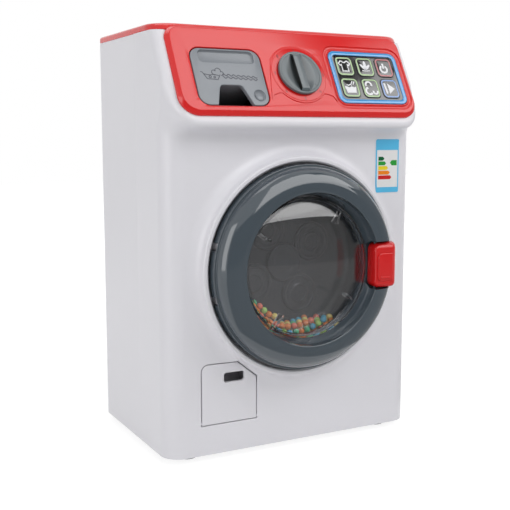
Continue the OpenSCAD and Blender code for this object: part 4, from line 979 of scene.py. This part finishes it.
# One bead: rings of latitude, joined by four-cornered faces, closed by a fan at each pole
rings, sectors = beadPile["rings"], beadPile["sectors"]
lat = np.radians(np.linspace(-90, 90, rings + 2))[1:-1, None]
lon = np.linspace(0, 2 * math.pi, sectors, endpoint=False)
ball = onPlan(np.cos(lat) * np.cos(lon), np.cos(lat) * np.sin(lon), np.sin(lat)).reshape(-1, 3)
ball = np.vstack([ball, [0, 0, -1], [0, 0, 1]]) * size / 2
southPole, northPole, topRow = len(ball) - 2, len(ball) - 1, (rings - 1) * sectors
ballFaces = ringFaces(rings, sectors)
ballFaces += [[southPole, (q + 1) % sectors, q] for q in range(sectors)]
ballFaces += [[northPole, topRow + q, topRow + (q + 1) % sectors] for q in range(sectors)]
for tone, name in enumerate(beads):
    mine = centres[spots[:, 3] == tone]
    local = (mine[:, None, :] + ball[None]).reshape(-1, 3)
    faces = [[corner + m * len(ball) for corner in face] for m in range(len(mine)) for face in ballFaces]
    title = name.capitalize()
    addPiece("beadPile" + title, onDoor(*local.T), faces, "beads", "bead" + title, sharp=80,
             replaces="beads_" + name)

print("stage: door handle")
handle = {"box": (44.3, 62.4, -15.1, 13.5), "corners": (1.8, 4.5, 4.5, 1.8), "back": 57.4, "front": 66.4,
          "edge": 1.3, "under": 0.35, "fallFrom": (57.0, 9.1, -11.5), "fallWide": (4.4, 3.6),
          "fall": (0.15, 4.0, 3.4)}
handleShape = boxShape(*handle["box"], handle["corners"], straight=12)


def handleHeight(p, d):
    # Flat middle; falls to the right as a square, to top and foot as quarter ellipses, round at the outline
    (fromX, fromTop, fromFoot), (topWide, footWide) = handle["fallFrom"], handle["fallWide"]
    right = np.maximum(p[:, 0] - fromX, 0) ** 2
    up = 1 - np.sqrt(np.maximum(1 - (np.clip(p[:, 1] - fromTop, 0, topWide) / topWide) ** 2, 0))
    down = 1 - np.sqrt(np.maximum(1 - (np.clip(fromFoot - p[:, 1], 0, footWide) / footWide) ** 2, 0))
    q = max(handle["edge"] - d, 0) / handle["edge"]
    fall = handle["fall"][0] * right + handle["fall"][1] * up + handle["fall"][2] * down
    return handle["front"] - fall - handle["edge"] * (1 - math.sqrt(max(1 - q * q, 0)))


grip = [(handleShape(handle["under"]), handle["back"]), (handleShape(0.0), handle["back"] + handle["under"])]
for d in np.concatenate([handle["edge"] * quarterRound(6)[:, 0], np.linspace(1.7, 8.9, 17)]):
    grip.append((handleShape(d), np.maximum(handleHeight(handleShape(d), d), handle["back"] + 0.6)))
stackPiece("latchHandle", grip, onDoor, "latch", "redHandle", sharp=50, replaces="latch_handle")
for name, box, low, high, edge, foot in (
        ("latchPad", (45.8, 56.9, -10.3, 7.1, (0.8, 2.6, 2.6, 0.8)), 65.6, 67.6, 0.6, 0.0),
        ("latchBar", (47.5, 55.1, -8.9, -7.5, 0.6), 67.0, 68.1, 0.4, 0.0),
        ("latchTongue", (57.6, 59.8, -4.5, 4.5, 0.5), 41.1, 58.0, 0.3, 0.5)):
    platePiece(name, boxShape(*box), low, high, onDoor, "latch", "redHandle", edge=edge, foot=foot)

print("stage: label and hatch")
label = {"x0": 57.8, "x1": 75.8, "low": 159.2, "high": 193.4, "bend": 191.04, "border": 0.9,
         "field": (162.6, 186.4), "barLeft": 59.7, "barEnds": (63.2, 64.6, 66.2, 67.6, 69.0),
         "barTop": 180.9, "barStep": 3.0, "barTall": 2.5}


def onLabel(x, l, off):
    # Up the flat face, then round the cove: beyond the bend the length becomes an angle;
    # near the door it rides up the collar's foot, a quarter ellipse
    angle = np.maximum(l - label["bend"], 0) / cabinet["cove"]
    inside = np.clip((collar["foot"] - np.hypot(x, l - doorHeight)) / collar["wide"], 0, 1)
    h = cabinet["face"] + cabinet["cove"] - (cabinet["cove"] - off) * np.cos(angle)
    return onFront(x, np.minimum(l, label["bend"]) + (cabinet["cove"] - off) * np.sin(angle),
                   h + collar["high"] * (1 - np.sqrt(1 - inside ** 2)))


def labelPatch(name, x0, x1, low, high, off, thick, material, corner, **more):
    # Ribbon that follows the face: rows up it, each as wide as the round corners let it be
    l = low + (high - low) * (1 - np.cos(np.linspace(0, math.pi, 30))) / 2
    cut = np.minimum(np.minimum(l - low, high - l) - corner, 0)
    draw = corner - np.sqrt(np.maximum(corner ** 2 - cut ** 2, 0))
    x = (x0 + draw)[:, None] + (x1 - x0 - 2 * draw)[:, None] * np.linspace(0, 1, 9)
    ll = np.repeat(l[:, None], 9, 1)
    gridSolid(name, onLabel(x, ll, off + thick), onLabel(x, ll, off), "cabinet", material, **more)


labelPatch("labelBase", label["x0"], label["x1"], label["low"], label["high"], 0.02, 0.23, "labelBlue", 1.0,
           replaces="sticker")
labelPatch("labelField", label["x0"] + label["border"], label["x1"] - label["border"], *label["field"], 0.25,
           0.05, "labelWhite", 0.3)


def labelArrow(name, x0, x1, tip, middle, tall, material):
    # Bar with a pointed end, to the right for a positive tip, as a thin plate on the flat part of the label
    y0, y1 = middle - tall / 2, middle + tall / 2
    if tip > 0:
        shape = np.array([(x0, y0), (x1, y0), (x1 + tip, middle), (x1, y1), (x0, y1)])
    else:
        shape = np.array([(x0 + tip, middle), (x0, y0), (x1, y0), (x1, y1), (x0, y1)])
    stackPiece(name, [(shape, 45.76), (shape, 45.86)], onFront, "cabinet", material)


for k, end in enumerate(label["barEnds"]):
    labelArrow("labelBarMark%d" % k, label["barLeft"], end, 1.2, label["barTop"] - label["barStep"] * k,
               label["barTall"], "labelBar%d" % k)
labelArrow("labelPointer", 70.3, 74.2, -1.5, 178.2, 3.4, "labelBar1")

hatch = platePiece("hatchDoor", hatchShape, 43.2, cabinet["face"], onFront, "hatch", "whiteShell", edge=0.45,
                   replaces="hatch_door")
carve(hatch, [flaredCutter(boxShape(-51, -37, 47.5, 53.5, 1.6), 40.0, cabinet["face"], 0.4, onFront)])
for name, x0 in (("hatchPinLeft", -68.3), ("hatchPinRight", -29.2)):
    pin = [(0, x0), (0.6, x0), (0.75, x0 + 0.15), (0.75, x0 + 2.65), (0.6, x0 + 2.8), (0, x0 + 2.8)]
    lathePiece(name, pin, lambda u, v, t: onPlan(t, -44.35 + u, 23.8 + v), "hatch", "whiteShell", steps=24)

cover = platePiece("batteryCover", boxShape(-35.7, 35.7, 10.3, 70.7, 2.2), 69.7, cabinet["back"], onBack,
                   "cabinet", "whiteShell", edge=0.4, replaces="battery_cover")
carve(cover, [flaredCutter(boxShape(-12, 12, z, z + 1.2, 0.55), 70.4, cabinet["back"], 0.3, onBack)
              for z in (62, 59, 56, 53, 50)] +
      [prism(circle(0, 17.2, r, steps), low, high, onBack)
       for r, steps, low, high in ((2.5, 40, 70.15, 72), (1.4, 32, 69.0, 70.5))])

print("stage: finishes")
nodeFinish = {
    "whiteInner": ("hatch_pocket", "battery_bay", "keeper"),
    "speakerBlack": ("dial_switch", "speaker"),
    "boardGreen": ("key_board",),
    "tubGrey": ("tub_back",),
    "steel": ("key_domes", "knob_shaft", "drum_shaft", "idler_pin", "hinge_pin", "latch_spring",
              "battery_contacts", "case_screws"),
    "ringBack": ("latch_pin",),
    "motorCan": ("motor",),
    "brass": ("motor_pinion",),
    "gearNylon": ("drum_gear", "idler_gear", "gear_plate"),
    "cellJacket": ("cell_top", "cell_middle", "cell_bottom"),
}
for material, nodeNames in nodeFinish.items():
    for nodeName in nodeNames:
        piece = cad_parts[nodeName]
        if not piece.material_slots:
            piece.data.materials.append(None)
        for one in piece.material_slots:
            one.material = finish[material]

print("stage: floor and studio cards")
studio = {"floor": 0.86, "floorShine": 0.8, "floorGlow": 1.2, "farGlow": 1.36, "glowFrom": 0.2, "glowTo": 0.9,
          "glowShare": 0.72, "cardRadius": 1.5, "cardTop": 0.85, "cardGlow": 0.27, "apronFrom": 0.125,
          "apronHigh": 0.003, "apronGlow": 0.42, "wallCardGlow": 0.12}


def stageSheet(name, grid, material):
    # Sheet through a grid of points, for the studio round the object
    mesh = bpy.data.meshes.new(name)
    mesh.from_pydata(grid.reshape(-1, 3).tolist(), [], ringFaces(*grid.shape[:2], closed=False))
    mesh.materials.append(material)
    sheet = bpy.data.objects.new(name, mesh)
    scene.collection.objects.link(sheet)
    return sheet


def studioCard(name, grid, strength):
    # Seen only in gloss and through clear plastic, as a photographer's grey card is
    material, tree, shader = newMaterial(name)
    tree.nodes.remove(shader)
    glow = addNode(tree, "ShaderNodeEmission", {"Strength": strength})
    setInputs(tree, nodeOf(tree, "OUTPUT_MATERIAL"), {"Surface": glow.outputs[0]})
    card = stageSheet(name, grid, material)
    card.visible_camera = card.visible_diffuse = card.visible_shadow = False


# Floor: matt paper for soft light, mostly a white glow for sight rays, stronger further out
floorMaterial, tree, shader = newMaterial("floorPaper")
setInputs(tree, shader, {"Base Color": (studio["floor"],) * 3 + (1,), "Roughness": studio["floorShine"]})
place = tree.nodes.new("ShaderNodeTexCoord").outputs["Object"]
distance = addNode(tree, "ShaderNodeVectorMath", {0: place}, "LENGTH")
fade = addNode(tree, "ShaderNodeMapRange", {
    "Value": distance.outputs["Value"], "From Min": studio["glowFrom"], "From Max": studio["glowTo"],
    "To Min": studio["floorGlow"], "To Max": studio["farGlow"]})
glow = addNode(tree, "ShaderNodeEmission", {"Strength": fade.outputs["Result"]})
glowShare = addNode(tree, "ShaderNodeMath", {0: sightFactor(tree), 1: studio["glowShare"]}, "MULTIPLY")
mixSurface(tree, glowShare.outputs[0], shader, glow)
side = np.array([-3.0, 3.0])
stageSheet("floor", onPlan(side, side[:, None], 0), floorMaterial)

around = np.radians(np.linspace(-140, 12, 40))
tall = np.linspace(0.0, studio["cardTop"], 2)[:, None]
far = studio["cardRadius"]
studioCard("frontCard", onPlan(far * np.cos(around), far * np.sin(around), tall), studio["cardGlow"])
reach = np.linspace(studio["apronFrom"], far - 0.01, 2)[:, None]
studioCard("frontApron", onPlan(reach * np.cos(around), reach * np.sin(around), studio["apronHigh"]),
           studio["apronGlow"])
# Dark card behind the wall of light, above its lower right part
along = np.linspace(0.66, 1.45, 2)
tall = np.linspace(1.66, 2.7, 2)[:, None]
studioCard("wallCard", onPlan(0.4555 + 0.9764 * along, -1.0353 + 0.216 * along, tall), studio["wallCardGlow"])

print("stage: done")
